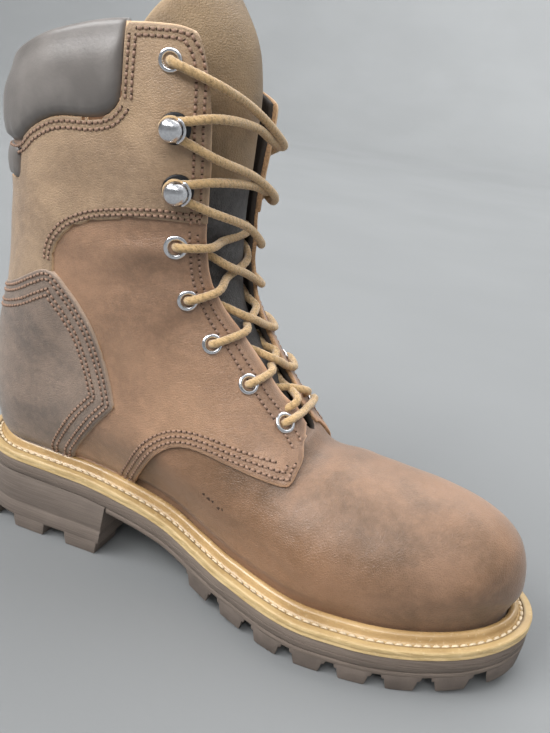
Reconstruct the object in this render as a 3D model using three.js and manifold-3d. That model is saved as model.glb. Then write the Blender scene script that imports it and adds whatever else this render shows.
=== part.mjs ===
// Logger boot for the right foot, in millimetres. X runs to the toe, Y to the inner (medial) side, Z up.
// The origin lies on the heel's rest face. The upper is one hollow shell; the panels over it, the tongue
// under it and the pads at its collar are cut from, or offset from, the same form.
import * as THREE from 'three';
import { mergeVertices } from 'three/addons/utils/BufferGeometryUtils.js';
import Module from 'manifold-3d';

const wasm = await Module();
wasm.setup();

// Sole sizes
const soleLength = 318;
const ballWidth = 110;
const heelRounding = 40;
const toeRounding = 80;
const originAhead = 45;
const heelBlockHeight = 36;
const heelBlockLength = 95;
const breastSlant = 3;
const lugDepth = 7.4;
const outsoleThickness = 3.5;
const midsoleThickness = 7.4;
const toeSpring = 7.5;
const treadFlat = 0.6;
const sideGrooveDepth = 0.6;
const clearance = 0.3;

// Tread sizes
const plateInset = 0.8;
const lugInset = 0.4;
const lugPitch = 22;
const lugLength = 15.5;
const lugInward = 26;
const lugDraft = 1.6;
const lugRoot = 1;
const firstLugAlong = 0.47;
const lastLugGap = 14;
const blockGap = 4.5;
const blockLengthShare = 0.75;
const narrowestBlock = 12;
const tipLugFrom = 15;
const tipLugTo = 1.5;
const tipLugInward = 46;
const heelInset = 0.6;
const heelLugs = 3;
const heelLugLength = 21;
const heelLugInward = 22;
const heelLugEdge = 2;
const heelLugSpare = 1;
const heelBlock = { length: 26, width: 22 };

// Welt sizes
const weltThickness = 4.6;
const weltWidth = 11.7;
const beadRise = 8.9;
const beadWidth = 4.6;
const weltEdge = 0.8;

// Upper sizes
const upperWall = 2.8;
const panelThickness = 1.9;
const toeBoxHeight = 70;
const shaftHeight = 228;
const shaftWidth = 96;
const shaftRounding = 50;
const ridgeRounding = 48;
const beadTuck = 2.6;
const facingFlare = 11;
const swellTop = 42;
const tuckReach = 7;
const freeReach = 5;
const legBlendStart = 80;
const legBlendEnd = 135;
const legSquare = 2.45;
const backSquare = 2.2;
const backBlend = 110;
const flareReach = 45;
const ankleHeight = 100;
const throatSetback = 10;
const insoleThickness = 4;
const tongueThickness = 3.4;
const padThickness = 5;
const rollThickness = 4.5;

// Lacing sizes
const eyeletOuter = 9.6;
const eyeletHole = 5.6;
const eyeletFlange = 0.9;
const hookBall = 9.4;
const hookStem = 4.4;
const hookReach = 5;
const hookPlate = 8;
const laceDiameter = 4;

// Plan of the sole: half widths as shares of the ball's width, and how far the upper's wall swells
// beyond its seat on either side, as a share of the same width.
const planTable = [
  { along: 0.00, lateral: 0.340, medial: 0.350, swellLateral: 0.050, swellMedial: 0.050 },
  { along: 0.13, lateral: 0.340, medial: 0.350, swellLateral: 0.052, swellMedial: 0.050 },
  { along: 0.27, lateral: 0.333, medial: 0.318, swellLateral: 0.075, swellMedial: 0.085 },
  { along: 0.40, lateral: 0.325, medial: 0.288, swellLateral: 0.100, swellMedial: 0.130 },
  { along: 0.54, lateral: 0.440, medial: 0.360, swellLateral: 0.030, swellMedial: 0.095 },
  { along: 0.68, lateral: 0.535, medial: 0.455, swellLateral: 0.022, swellMedial: 0.045 },
  { along: 0.76, lateral: 0.515, medial: 0.480, swellLateral: 0.020, swellMedial: 0.025 },
  { along: 0.88, lateral: 0.476, medial: 0.492, swellLateral: 0.020, swellMedial: 0.020 },
  { along: 1.00, lateral: 0.464, medial: 0.510, swellLateral: 0.020, swellMedial: 0.020 },
];

// Height of the midsole's top along the sole: the share of the heel's lift and of the toe's spring.
const seatTable = [
  { along: 0.00, lift: 1.00, spring: 0.00 },
  { along: 0.24, lift: 0.93, spring: 0.00 },
  { along: 0.35, lift: 0.72, spring: 0.00 },
  { along: 0.47, lift: 0.31, spring: 0.00 },
  { along: 0.60, lift: 0.07, spring: 0.00 },
  { along: 0.72, lift: 0.00, spring: 0.00 },
  { along: 0.82, lift: 0.00, spring: 0.06 },
  { along: 0.91, lift: 0.00, spring: 0.37 },
  { along: 1.00, lift: 0.00, spring: 1.00 },
];

// Profile of the toe and vamp: along the sole, and up as a share of the toe box.
const vampLine = [
  { along: 0.9616, rise: 0.118 },
  { along: 0.9622, rise: 0.245 },
  { along: 0.9735, rise: 0.330 },
  { along: 0.9745, rise: 0.430 },
  { along: 0.9690, rise: 0.560 },
  { along: 0.9550, rise: 0.690 },
  { along: 0.9320, rise: 0.785 },
  { along: 0.9030, rise: 0.855 },
  { along: 0.8680, rise: 0.905 },
  { along: 0.8180, rise: 0.940 },
  { along: 0.7600, rise: 0.955 },
  { along: 0.6900, rise: 0.985 },
];

// Profile of the instep and shin: along the sole, and up as a share of the shaft.
const shinLine = [
  { along: 0.6350, rise: -0.005 },
  { along: 0.6120, rise: 0.020 },
  { along: 0.5870, rise: 0.052 },
  { along: 0.5590, rise: 0.096 },
  { along: 0.5060, rise: 0.182 },
  { along: 0.4640, rise: 0.266 },
  { along: 0.4480, rise: 0.350 },
  { along: 0.4430, rise: 0.450 },
  { along: 0.4420, rise: 0.560 },
  { along: 0.4360, rise: 0.680 },
  { along: 0.4250, rise: 0.755 },
  { along: 0.4090, rise: 0.834 },
  { along: 0.3840, rise: 0.921 },
];

// Back of the upper and its half width above the seat: height as a share of the shaft above the floor.
const shaftTable = [
  { height: 0.17, back: 0.0390, width: 0.66 },
  { height: 0.24, back: 0.0330, width: 0.66 },
  { height: 0.31, back: 0.0270, width: 0.69 },
  { height: 0.42, back: 0.0255, width: 0.72 },
  { height: 0.50, back: 0.0300, width: 0.76 },
  { height: 0.60, back: 0.0470, width: 0.82 },
  { height: 0.72, back: 0.0580, width: 0.89 },
  { height: 0.86, back: 0.0620, width: 0.95 },
  { height: 1.00, back: 0.0620, width: 0.99 },
  { height: 1.20, back: 0.0600, width: 1.00 },
  { height: 1.40, back: 0.0600, width: 1.00 },
];

// Edge of the throat seen from the side, from the vamp up to the collar.
const throatLine = [
  { along: 0.6060, rise: 0.027 },
  { along: 0.5680, rise: 0.080 },
  { along: 0.5330, rise: 0.130 },
  { along: 0.4800, rise: 0.218 },
  { along: 0.4500, rise: 0.275 },
  { along: 0.4300, rise: 0.340 },
  { along: 0.4210, rise: 0.420 },
  { along: 0.4190, rise: 0.520 },
  { along: 0.4200, rise: 0.600 },
  { along: 0.4190, rise: 0.690 },
  { along: 0.4120, rise: 0.750 },
  { along: 0.3990, rise: 0.790 },
  { along: 0.3720, rise: 0.830 },
];

// Outlines of the panels in the side view: along the sole, and up or down from the vamp's top.
const counterLine = [
  { along: -0.025, rise: 0.192 },
  { along: 0.044, rise: 0.214 },
  { along: 0.104, rise: 0.246 },
  { along: 0.151, rise: 0.284 },
  { along: 0.179, rise: 0.304 },
  { along: 0.201, rise: 0.301 },
  { along: 0.223, rise: 0.271 },
  { along: 0.245, rise: 0.236 },
  { along: 0.274, rise: 0.170 },
  { along: 0.306, rise: 0.034 },
  { along: 0.305, rise: 0.012 },
  { along: 0.278, rise: -0.035 },
  { along: 0.247, rise: -0.090 },
  { along: 0.223, rise: -0.142 },
  { along: 0.208, rise: -0.194 },
];
const quarterLowerLine = [
  { along: 0.330, rise: -0.194 },
  { along: 0.340, rise: -0.168 },
  { along: 0.363, rise: -0.114 },
  { along: 0.389, rise: -0.063 },
  { along: 0.415, rise: -0.033 },
  { along: 0.443, rise: -0.021 },
  { along: 0.477, rise: -0.023 },
  { along: 0.522, rise: -0.034 },
  { along: 0.563, rise: -0.044 },
  { along: 0.607, rise: -0.052 },
  { along: 0.613, rise: -0.023 },
  { along: 0.611, rise: -0.004 },
  { along: 0.603, rise: 0.019 },
  { along: 0.594, rise: 0.043 },
];
const seamLine = [
  { along: 0.198, rise: 0.288 },
  { along: 0.199, rise: 0.336 },
  { along: 0.206, rise: 0.366 },
  { along: 0.223, rise: 0.396 },
  { along: 0.247, rise: 0.417 },
  { along: 0.276, rise: 0.433 },
  { along: 0.323, rise: 0.448 },
  { along: 0.371, rise: 0.457 },
  { along: 0.417, rise: 0.453 },
  { along: 0.472, rise: 0.446 },
];
const padLine = [
  { along: -0.025, rise: 0.547 },
  { along: 0.094, rise: 0.551 },
  { along: 0.132, rise: 0.558 },
  { along: 0.157, rise: 0.586 },
  { along: 0.187, rise: 0.611 },
  { along: 0.216, rise: 0.624 },
  { along: 0.264, rise: 0.630 },
  { along: 0.292, rise: 0.643 },
  { along: 0.307, rise: 0.670 },
];
const rollLine = [
  { along: -0.025, rise: 0.477 },
  { along: 0.094, rise: 0.477 },
  { along: 0.130, rise: 0.483 },
];

// Lacing points from the vamp to the collar, with the height of each on both sides.
const lacingTable = [
  { kind: 'eyelet', along: 0.569, lateral: 0.055, medial: 0.055 },
  { kind: 'eyelet', along: 0.508, lateral: 0.131, medial: 0.131 },
  { kind: 'eyelet', along: 0.449, lateral: 0.209, medial: 0.209 },
  { kind: 'eyelet', along: 0.409, lateral: 0.298, medial: 0.298 },
  { kind: 'eyelet', along: 0.389, lateral: 0.407, medial: 0.400 },
  { kind: 'hook', along: 0.384, lateral: 0.521, medial: 0.492 },
  { kind: 'hook', along: 0.380, lateral: 0.635, medial: 0.590 },
  { kind: 'eyelet', along: 0.370, lateral: 0.749, medial: 0.672 },
];

// Collar line: the height of the upper's top edge, as a share of the shaft above the vamp.
const collarTable = [
  { along: 0.00, lateral: 0.692, medial: 0.692 },
  { along: 0.07, lateral: 0.696, medial: 0.696 },
  { along: 0.12, lateral: 0.728, medial: 0.728 },
  { along: 0.20, lateral: 0.772, medial: 0.750 },
  { along: 0.30, lateral: 0.804, medial: 0.745 },
  { along: 0.37, lateral: 0.810, medial: 0.718 },
  { along: 0.42, lateral: 0.785, medial: 0.690 },
];

const mix = (a, b, t) => a + (b - a) * t;
const clamp = (t) => Math.min(1, Math.max(0, t));
const smooth = (t) => clamp(t) ** 2 * (3 - 2 * clamp(t));

// A smooth curve through one column of a table, flat past its ends.
function reader(rows, key, column) {
  const at = rows.map((row) => row[key]);
  const value = rows.map((row) => row[column]);
  const last = at.length - 1;
  const secant = at.slice(1).map((x, i) => (value[i + 1] - value[i]) / (x - at[i]));
  const slope = at.map((x, i) => {
    if (i === 0) return secant[0];
    if (i === last) return secant[last - 1];
    const product = secant[i - 1] * secant[i];
    return product <= 0 ? 0 : 2 * product / (secant[i - 1] + secant[i]);
  });
  return (x) => {
    if (x <= at[0]) return value[0];
    if (x >= at[last]) return value[last];
    const i = at.findIndex((end) => end > x) - 1;
    const span = at[i + 1] - at[i];
    const t = (x - at[i]) / span;
    const start = (1 + 2 * t) * (1 - t) ** 2 * value[i] + t * (1 - t) ** 2 * span * slope[i];
    return start + t * t * (3 - 2 * t) * value[i + 1] + t * t * (t - 1) * span * slope[i + 1];
  };
}

const plan = {
  lateral: reader(planTable, 'along', 'lateral'),
  medial: reader(planTable, 'along', 'medial'),
};
const swell = {
  lateral: reader(planTable, 'along', 'swellLateral'),
  medial: reader(planTable, 'along', 'swellMedial'),
};
const lift = reader(seatTable, 'along', 'lift');
const spring = reader(seatTable, 'along', 'spring');
const sideSign = { lateral: -1, medial: 1 };
const sides = ['lateral', 'medial'];

// Heights that follow from the layers of the sole
const foreSeat = lugDepth + outsoleThickness + midsoleThickness;
const heelSeat = heelBlockHeight + midsoleThickness;
const vampTop = foreSeat + toeBoxHeight;
const seatInset = weltWidth + clearance;
const seatHeight = (x) => foreSeat + (heelSeat - foreSeat) * lift(x / soleLength)
  + toeSpring * spring(x / soleLength);

// A quarter circle that closes a form towards an end or a ridge: 0 at the end, 1 past the rounding.
const closing = (distance, rounding, square = 2) =>
  (1 - (1 - clamp(distance / rounding)) ** square) ** (1 / square);

// Half width of the sole's outline, drawn in by an inset, at a length from the heel's back edge.
function outlineHalf(side, x, inset) {
  const width = plan[side](x / soleLength) * ballWidth - inset;
  const heel = closing(x - inset, heelRounding - inset);
  const toe = closing(soleLength - inset - x, toeRounding - inset);
  return width * heel * toe;
}

// The front profile as one smooth line in the side view: the toe first, the top of the shin last.
const frontCurve = new THREE.SplineCurve([
  ...vampLine.map(({ along, rise }) =>
    new THREE.Vector2(along * soleLength, foreSeat + rise * toeBoxHeight)),
  ...shinLine.map(({ along, rise }) =>
    new THREE.Vector2(along * soleLength, vampTop + rise * shaftHeight)),
]);
const frontPoints = frontCurve.getSpacedPoints(120);
const throatCurve = new THREE.SplineCurve(throatLine.map(({ along, rise }) =>
  new THREE.Vector2(along * soleLength, vampTop + rise * shaftHeight)));

function distanceToFront(x, z) {
  let best = Infinity;
  for (let i = 1; i < frontPoints.length; i += 1) {
    const a = frontPoints[i - 1];
    const b = frontPoints[i];
    const length = (b.x - a.x) ** 2 + (b.y - a.y) ** 2;
    const t = clamp(((x - a.x) * (b.x - a.x) + (z - a.y) * (b.y - a.y)) / length);
    best = Math.min(best, Math.hypot(x - mix(a.x, b.x, t), z - mix(a.y, b.y, t)));
  }
  return best;
}

const backShare = reader(shaftTable, 'height', 'back');
const widthShare = reader(shaftTable, 'height', 'width');
const backLine = (z) => backShare(z / shaftHeight) * soleLength;

// Half width of the upper's form at a point of the side view.
const toeTip = soleLength - seatInset;
const noseSpare = 0.5;
function formHalf(side, x, z) {
  const above = z - seatHeight(Math.min(x, toeTip));
  const station = clamp((x - backLine(z)) / (toeTip - backLine(z)));
  const planX = mix(seatInset, toeTip, station);
  const toTip = toeTip - planX;
  const taper = toTip < toeRounding
    ? closing(toTip + noseSpare, toeRounding - seatInset) / closing(toTip + noseSpare, ridgeRounding) : 1;
  const swollen = swell[side](planX / soleLength) * ballWidth
    * smooth((above - beadRise) / (swellTop - beadRise));
  const tuck = beadTuck * smooth((above - beadRise) / tuckReach);
  const foot = (plan[side](planX / soleLength) * ballWidth - seatInset + tuck + swollen) * taper;
  const leg = widthShare(z / shaftHeight) * shaftWidth / 2;
  const upTheLeg = smooth((z - legBlendStart) / (legBlendEnd - legBlendStart));
  const ridge = distanceToFront(x, z);
  const square = mix(2, legSquare, upTheLeg);
  const backRounding = mix(heelRounding - seatInset, shaftRounding, smooth(above / backBlend));
  const closed = mix(foot, leg, upTheLeg) * closing(ridge, ridgeRounding, square)
    * closing(x - backLine(z), backRounding, mix(2, backSquare, upTheLeg));
  const flare = facingFlare * smooth((z - vampTop - 0.5 * shaftHeight) / flareReach)
    * (1 - clamp(ridge / flareReach)) ** 2;
  const seated = outlineHalf(side, Math.min(x, toeTip), seatInset);
  const free = smooth((above - beadRise) / freeReach);
  return mix(seated, closed + flare * Math.sign(closed), free);
}

// Rows of a grid over one side of the upper, as points of the side view.
// Columns: 0 to 1 from the back to the throat, 1 to 2 from the throat to the toe.
// Rows: 0 to 1 from the seat to the ankle and the vamp's ridge, 1 to 2 up the shaft.
const hindColumns = 10;
const vampColumns = 8;
const legRows = 7;
const beadRow = 0.13;
const footRows = [0, beadRow, 0.25, 0.44, 0.64, 0.83, 0.95, 1];
const throatStart = throatCurve.getPoint(0);
const throatSeatX = throatStart.x - throatSetback;
const toeCornerShare = 0.235;

function frontShareAt(target) {
  let best = 0;
  let nearest = Infinity;
  for (let i = 0; i <= 600; i += 1) {
    const point = frontCurve.getPointAt(i / 600);
    const away = point.distanceTo(target);
    if (away < nearest) {
      nearest = away;
      best = i / 600;
    }
  }
  return best;
}
const throatShare = frontShareAt(throatStart);
const throatRoot = frontCurve.getPointAt(throatShare);

const shares = (count) => Array.from({ length: count + 1 }, (_, i) => i / count);
const blendPoint = (a, b, t) => new THREE.Vector2(mix(a.x, b.x, t), mix(a.y, b.y, t));
const seatPoint = (x) => new THREE.Vector2(x, seatHeight(x));
const ankleTurn = 0.84 * Math.PI;
const hindShare = (c, r) => mix(
  1 - Math.cos(Math.PI * c / 2),
  (1 - Math.cos(ankleTurn * c)) / (1 - Math.cos(ankleTurn)),
  clamp((r - beadRow) / (1 - beadRow)),
);

function vampPoint(c, r) {
  const a = Math.sin(Math.PI * c / 2);
  const left = blendPoint(seatPoint(throatSeatX), throatRoot, r);
  const right = frontCurve.getPointAt(toeCornerShare * r);
  const bottom = seatPoint(mix(throatSeatX, toeTip, a));
  const top = frontCurve.getPointAt(mix(throatShare, toeCornerShare, a));
  const corners = blendPoint(
    blendPoint(seatPoint(throatSeatX), throatRoot, r),
    blendPoint(seatPoint(toeTip), frontCurve.getPointAt(toeCornerShare), r),
    a,
  );
  return blendPoint(left, right, a).add(blendPoint(bottom, top, r)).sub(corners);
}

function hindPoint(c, r) {
  const share = hindShare(c, r);
  const backZ = mix(seatHeight(seatInset), ankleHeight, r);
  const back = new THREE.Vector2(backLine(backZ), backZ);
  const ankle = new THREE.Vector2(backLine(ankleHeight), ankleHeight);
  const backCorners = blendPoint(seatPoint(seatInset), ankle, r);
  const bottom = seatPoint(mix(seatInset, throatSeatX, share));
  const top = blendPoint(ankle, throatRoot, share);
  return blendPoint(bottom, top, r).add(back.sub(backCorners).multiplyScalar(1 - share));
}

const collar = {
  lateral: reader(collarTable, 'along', 'lateral'),
  medial: reader(collarTable, 'along', 'medial'),
};
const collarHeight = (side, x) => vampTop + collar[side](x / soleLength) * shaftHeight;
const throatTop = {};
for (const side of sides) {
  const crossing = throatCurve.getPoints(200).map((point, i) => [i / 200, point])
    .find(([, point]) => point.y > collarHeight(side, point.x));
  throatTop[side] = crossing ? crossing[0] : 1;
}

function legPoint(side, c, r) {
  const share = hindShare(c, 1);
  const front = throatCurve.getPoint(throatTop[side] * r);
  const start = r === 0 ? throatRoot : front;
  const backZ = mix(ankleHeight, collarHeight(side, backLine(ankleHeight)), r);
  const back = new THREE.Vector2(backLine(backZ), backZ);
  const point = blendPoint(back, start, share);
  const straight = mix(backZ, start.y, share);
  const followed = mix(mix(ankleHeight, throatRoot.y, share), collarHeight(side, point.x), r);
  point.y = mix(straight, followed, r ** 2);
  return point;
}

// Stations along the sole, as shares of the length between its ends, in step with the form's columns.
const seatStations = [
  ...shares(hindColumns).map((c) => mix(seatInset, throatSeatX, hindShare(c, 0))),
  ...shares(vampColumns).slice(1).map((c) => mix(throatSeatX, toeTip, Math.sin(Math.PI * c / 2))),
].map((x) => (x - seatInset) / (toeTip - seatInset));
const stationX = (inset) => (i) => mix(inset, soleLength - inset, seatStations[i]);

// The seat as the midsole has it: straight between the stations.
const sideInset = 0.4;
function layerHeight(x) {
  const at = stationX(sideInset);
  const last = seatStations.length - 1;
  const found = seatStations.findIndex((_, k) => at(k) >= x);
  const i = found < 0 ? last : Math.max(found, 1);
  return mix(seatHeight(at(i - 1)), seatHeight(at(i)), (x - at(i - 1)) / (at(i) - at(i - 1)));
}

// A mesh under construction: points and triangles, merged where they meet.
class Surface {
  constructor() {
    this.points = [];
    this.triangles = [];
    this.index = new Map();
  }

  add(point) {
    const key = point.toArray().map((v) => Math.round(v * 1000)).join();
    if (!this.index.has(key)) {
      this.index.set(key, this.points.length);
      this.points.push(point.clone());
    }
    return this.index.get(key);
  }

  triangle(a, b, c) {
    if (a !== b && b !== c && c !== a) this.triangles.push([a, b, c]);
  }

  grid(rows, flip) {
    const ids = rows.map((row) => row.map((point) => this.add(point)));
    for (let i = 1; i < ids.length; i += 1) {
      for (let j = 1; j < ids[i].length; j += 1) {
        const [a, b, c, d] = [ids[i - 1][j - 1], ids[i - 1][j], ids[i][j], ids[i][j - 1]];
        if (flip) {
          this.triangle(a, c, b);
          this.triangle(a, d, c);
        } else {
          this.triangle(a, b, c);
          this.triangle(a, c, d);
        }
      }
    }
  }

  normals() {
    const sums = this.points.map(() => new THREE.Vector3());
    for (const [a, b, c] of this.triangles) {
      const [p, q, r] = [a, b, c].map((i) => this.points[i]);
      const normal = q.clone().sub(p).cross(r.clone().sub(p));
      for (const i of [a, b, c]) sums[i].add(normal);
    }
    return sums.map((sum, i) => {
      if (Math.abs(this.points[i].y) < 1e-6) sum.y = 0;
      return sum.normalize();
    });
  }
}

function manifoldOf(points, triangles) {
  const solid = new wasm.Manifold(new wasm.Mesh({
    numProp: 3,
    vertProperties: new Float32Array(points.flatMap((point) => point.toArray())),
    triVerts: new Uint32Array(triangles.flat()),
  }));
  return solid.volume() < 0 ? manifoldOf(points, triangles.map(([a, b, c]) => [a, c, b])) : solid;
}

function manifoldFrom(geometry) {
  const bare = geometry.index ? geometry.toNonIndexed() : geometry.clone();
  bare.deleteAttribute('normal');
  bare.deleteAttribute('uv');
  const merged = mergeVertices(bare, 1e-4);
  const place = merged.getAttribute('position');
  const points = Array.from({ length: place.count }, (_, i) =>
    new THREE.Vector3().fromBufferAttribute(place, i));
  const index = Array.from(merged.index.array);
  const triangles = [];
  for (let i = 0; i < index.length; i += 3) {
    const [a, b, c] = index.slice(i, i + 3);
    if (a !== b && b !== c && c !== a) triangles.push([a, b, c]);
  }
  return manifoldOf(points, triangles);
}

// A wall between two offsets of a surface, closed along the surface's free edges.
function wallOf(surface, inner, outer) {
  const normals = surface.normals();
  const count = surface.points.length;
  const layer = (offset) => surface.points.map((point, i) =>
    point.clone().addScaledVector(normals[i], typeof offset === 'function' ? offset(point) : offset));
  const points = [...layer(inner), ...layer(outer)];
  const edges = new Map();
  const triangles = [];
  for (const [a, b, c] of surface.triangles) {
    triangles.push([a, c, b], [a + count, b + count, c + count]);
    for (const [from, to] of [[a, b], [b, c], [c, a]]) {
      if (edges.has(`${to},${from}`)) edges.delete(`${to},${from}`);
      else edges.set(`${from},${to}`, [from, to]);
    }
  }
  for (const [from, to] of edges.values()) {
    triangles.push([from, to, to + count], [from, to + count, from + count]);
  }
  return manifoldOf(points, triangles);
}

const formPoint = (side, { x, y: z }) =>
  new THREE.Vector3(x - originAhead, sideSign[side] * Math.max(formHalf(side, x, z), 0), z);

// The upper's form over both sides, open at the seat, the throat and the collar.
const form = new Surface();
for (const side of sides) {
  const flip = side === 'medial';
  const snap = (point, onCentre) => {
    if (onCentre) point.y = 0;
    return point;
  };
  const overBead = (point, r) => {
    if (r !== beadRow) return point;
    const x = Math.min(Math.max(point.x, seatInset), toeTip);
    return new THREE.Vector2(x, seatHeight(x) + beadRise);
  };
  form.grid(footRows.map((r) => shares(hindColumns).map((c) =>
    snap(formPoint(side, overBead(hindPoint(c, r), r)), c === 0 || (r === 1 && c === 1)))), flip);
  form.grid(footRows.map((r) => shares(vampColumns).map((c) =>
    snap(formPoint(side, overBead(vampPoint(c, r), r)), c === 1 || r === 1))), flip);
  form.grid(shares(legRows).map((r) => shares(hindColumns).map((c) =>
    snap(formPoint(side, r === 0 ? hindPoint(c, 1) : legPoint(side, c, r)),
      c === 0 || (r === 0 && c === 1)))), flip);
}

// Panels: walls over the form, kept inside an outline of the side view.
const sidePoint = ({ along, rise }) =>
  new THREE.Vector2(along * soleLength, vampTop + rise * shaftHeight);
const outlineOf = (...parts) => parts.flat().map((part) =>
  part instanceof THREE.Vector2 ? part : sidePoint(part));
const corner = (along, rise) => sidePoint({ along, rise });
const halfSpan = ballWidth;

function prism(points, from = -halfSpan, to = halfSpan) {
  const shape = new THREE.Shape(points.map(({ x, y }) => new THREE.Vector2(x - originAhead, y)));
  const geometry = new THREE.ExtrudeGeometry(shape, { depth: to - from, bevelEnabled: false });
  geometry.rotateX(Math.PI / 2);
  geometry.translate(0, to, 0);
  return manifoldFrom(geometry);
}

// An outline moved outwards by a gap, for the cutter that leaves a joint between two panels.
function grown(points, gap) {
  const area = THREE.ShapeUtils.area(points);
  return points.map((point, i) => {
    const before = points[(i + points.length - 1) % points.length];
    const after = points[(i + 1) % points.length];
    const run = after.clone().sub(before).normalize();
    const out = area > 0 ? new THREE.Vector2(run.y, -run.x) : new THREE.Vector2(-run.y, run.x);
    return point.clone().addScaledVector(out, gap);
  });
}

const smoothed = (rows, steps) => new THREE.SplineCurve(rows.map(sidePoint)).getPoints(steps);
const counterOutline = outlineOf(smoothed(counterLine, 18), corner(-0.1, -0.194), corner(-0.1, 0.192));
const seamPoints = smoothed(seamLine, 9);
const padPoints = smoothed(padLine, 10);
const padFrontX = padPoints[padPoints.length - 1].x;
const shaftOutline = outlineOf(
  seamPoints, corner(0.6, 0.446), corner(0.6, 1), corner(0.6, 1.1),
  new THREE.Vector2(padFrontX, vampTop + shaftHeight),
  [...padPoints].reverse().filter((point) => point.x > soleLength * rollLine[2].along + 2),
  [...rollLine].reverse(), corner(-0.1, 0.477), corner(-0.1, 0.1), corner(0.15, 0.1),
);
const quarterOutline = outlineOf(
  smoothed(quarterLowerLine, 14), corner(0.645, 0.12), corner(0.503, 0.44),
  corner(0.503, 0.6), corner(-0.1, 0.6), corner(-0.1, -0.194),
);
const beadTopX = stationX(weltWidth - beadWidth / 2);
const aboveWelt = [
  new THREE.Vector2(-originAhead, heelSeat + beadRise + clearance),
  ...seatStations.map((_, i) =>
    new THREE.Vector2(beadTopX(i), seatHeight(beadTopX(i)) + beadRise + clearance)),
  new THREE.Vector2(soleLength + originAhead, foreSeat + toeSpring + beadRise + clearance),
  new THREE.Vector2(soleLength + originAhead, 3 * shaftHeight),
  new THREE.Vector2(-originAhead, 3 * shaftHeight),
];

const sideSheet = outlineOf(corner(-0.3, -0.5), corner(1.3, -0.5), corner(1.3, 1.5), corner(-0.3, 1.5));
const halves = {
  lateral: prism(sideSheet, -halfSpan, -clearance / 2),
  medial: prism(sideSheet, clearance / 2, halfSpan),
};
const clearOfWelt = prism(aboveWelt);
const counterThickness = 2 * panelThickness;
const shaftThickness = 1.4 * panelThickness;
const quarterWall = wallOf(form, clearance, clearance + panelThickness).intersect(clearOfWelt);
const shaftWall = wallOf(form, clearance, clearance + shaftThickness);
const counterWall = wallOf(form, clearance, clearance + counterThickness).intersect(clearOfWelt);
const counterPrism = prism(counterOutline);
const counterCutter = prism(grown(counterOutline, clearance));
const shaftPrism = prism(shaftOutline);
const shaftCutter = prism(grown(shaftOutline, clearance));

// Lacing: where each eyelet and hook sits on the form, and which way it faces.
function formNormal(side, { x, y: z }) {
  const step = 0.5;
  const dx = (formHalf(side, x + step, z) - formHalf(side, x - step, z)) / (2 * step);
  const dz = (formHalf(side, x, z + step) - formHalf(side, x, z - step)) / (2 * step);
  return new THREE.Vector3(-dx, sideSign[side], -dz).normalize();
}
const lacing = sides.flatMap((side) => lacingTable.map((row, i) => {
  const at = sidePoint({ along: row.along, rise: row[side] });
  return { side, index: i, kind: row.kind, at, point: formPoint(side, at), normal: formNormal(side, at) };
}));

const outwards = new THREE.Vector3(0, 0, 1);
const segments = 8;
const holeSides = 6;
const barrel = 0.6;
function turned(profile, count = segments) {
  const geometry = new THREE.LatheGeometry(profile.map(([r, h]) => new THREE.Vector2(r, h)), count);
  geometry.rotateX(Math.PI / 2);
  return geometry;
}
function settled(geometry, { point, normal }) {
  const turn = new THREE.Quaternion().setFromUnitVectors(outwards, normal);
  return geometry.clone().applyQuaternion(turn).translate(point.x, point.y, point.z);
}
const holeRadius = (eyeletHole / 2 + barrel + clearance) / Math.cos(Math.PI / holeSides);
const punch = turned([[0, -4 * upperWall], [holeRadius, -4 * upperWall], [holeRadius, 4 * upperWall],
  [0, 4 * upperWall]], holeSides);
const holes = { lateral: [], medial: [] };
for (const spot of lacing) {
  if (spot.kind === 'eyelet') holes[spot.side].push(manifoldFrom(settled(punch, spot)));
}
const punched = (solid, side) => holes[side].reduce((body, hole) => body.subtract(hole), solid);

const upperShell = sides.reduce((body, side) => punched(body, side), wallOf(form, -upperWall, 0));
const largest = (solid) => solid.decompose().sort((a, b) => b.volume() - a.volume())[0];
const quarters = {};
for (const side of sides) {
  quarters[side] = largest(punched(
    quarterWall.intersect(prism(quarterOutline)).intersect(halves[side])
      .subtract(counterCutter).subtract(shaftCutter), side));
}
const shaftPanel = largest(sides.reduce((body, side) => punched(body, side),
  shaftWall.intersect(shaftPrism).subtract(counterCutter)));
const counter = largest(counterWall.intersect(counterPrism));

// Sole: bands swept round the outline, and slabs closed across it.
const roundSteps = seatStations.length - 1;
function solePoint(side, x, inset, z) {
  return new THREE.Vector3(x - originAhead, sideSign[side] * outlineHalf(side, x, inset), z);
}
// One turn round the outline at an inset, with the height given as a function of the length.
function ring(inset, height, xOf = stationX(inset)) {
  const lateral = Array.from({ length: roundSteps + 1 }, (_, i) => {
    const x = xOf(i);
    return solePoint('lateral', x, inset, height(x));
  });
  const medial = Array.from({ length: roundSteps + 1 }, (_, i) => {
    const x = xOf(roundSteps - i);
    return solePoint('medial', x, inset, height(x));
  });
  return [...lateral, ...medial, lateral[0]];
}
function band(profile) {
  const surface = new Surface();
  const rows = profile.map(([inset, height]) => ring(inset, (x) => seatHeight(x) + height));
  surface.grid([...rows, rows[0]], false);
  return manifoldOf(surface.points, surface.triangles);
}
function slab(profile) {
  const surface = new Surface();
  const rows = profile.map(([inset, height, xOf]) => ring(inset, height, xOf));
  surface.grid(rows, false);
  const cap = (row, flip) => {
    const lateral = row.slice(0, roundSteps + 1);
    const medial = row.slice(roundSteps + 1, 2 * roundSteps + 2).reverse();
    surface.grid([lateral, medial], flip);
  };
  cap(rows[0], true);
  cap(rows[rows.length - 1], false);
  return manifoldOf(surface.points, surface.triangles);
}

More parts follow.
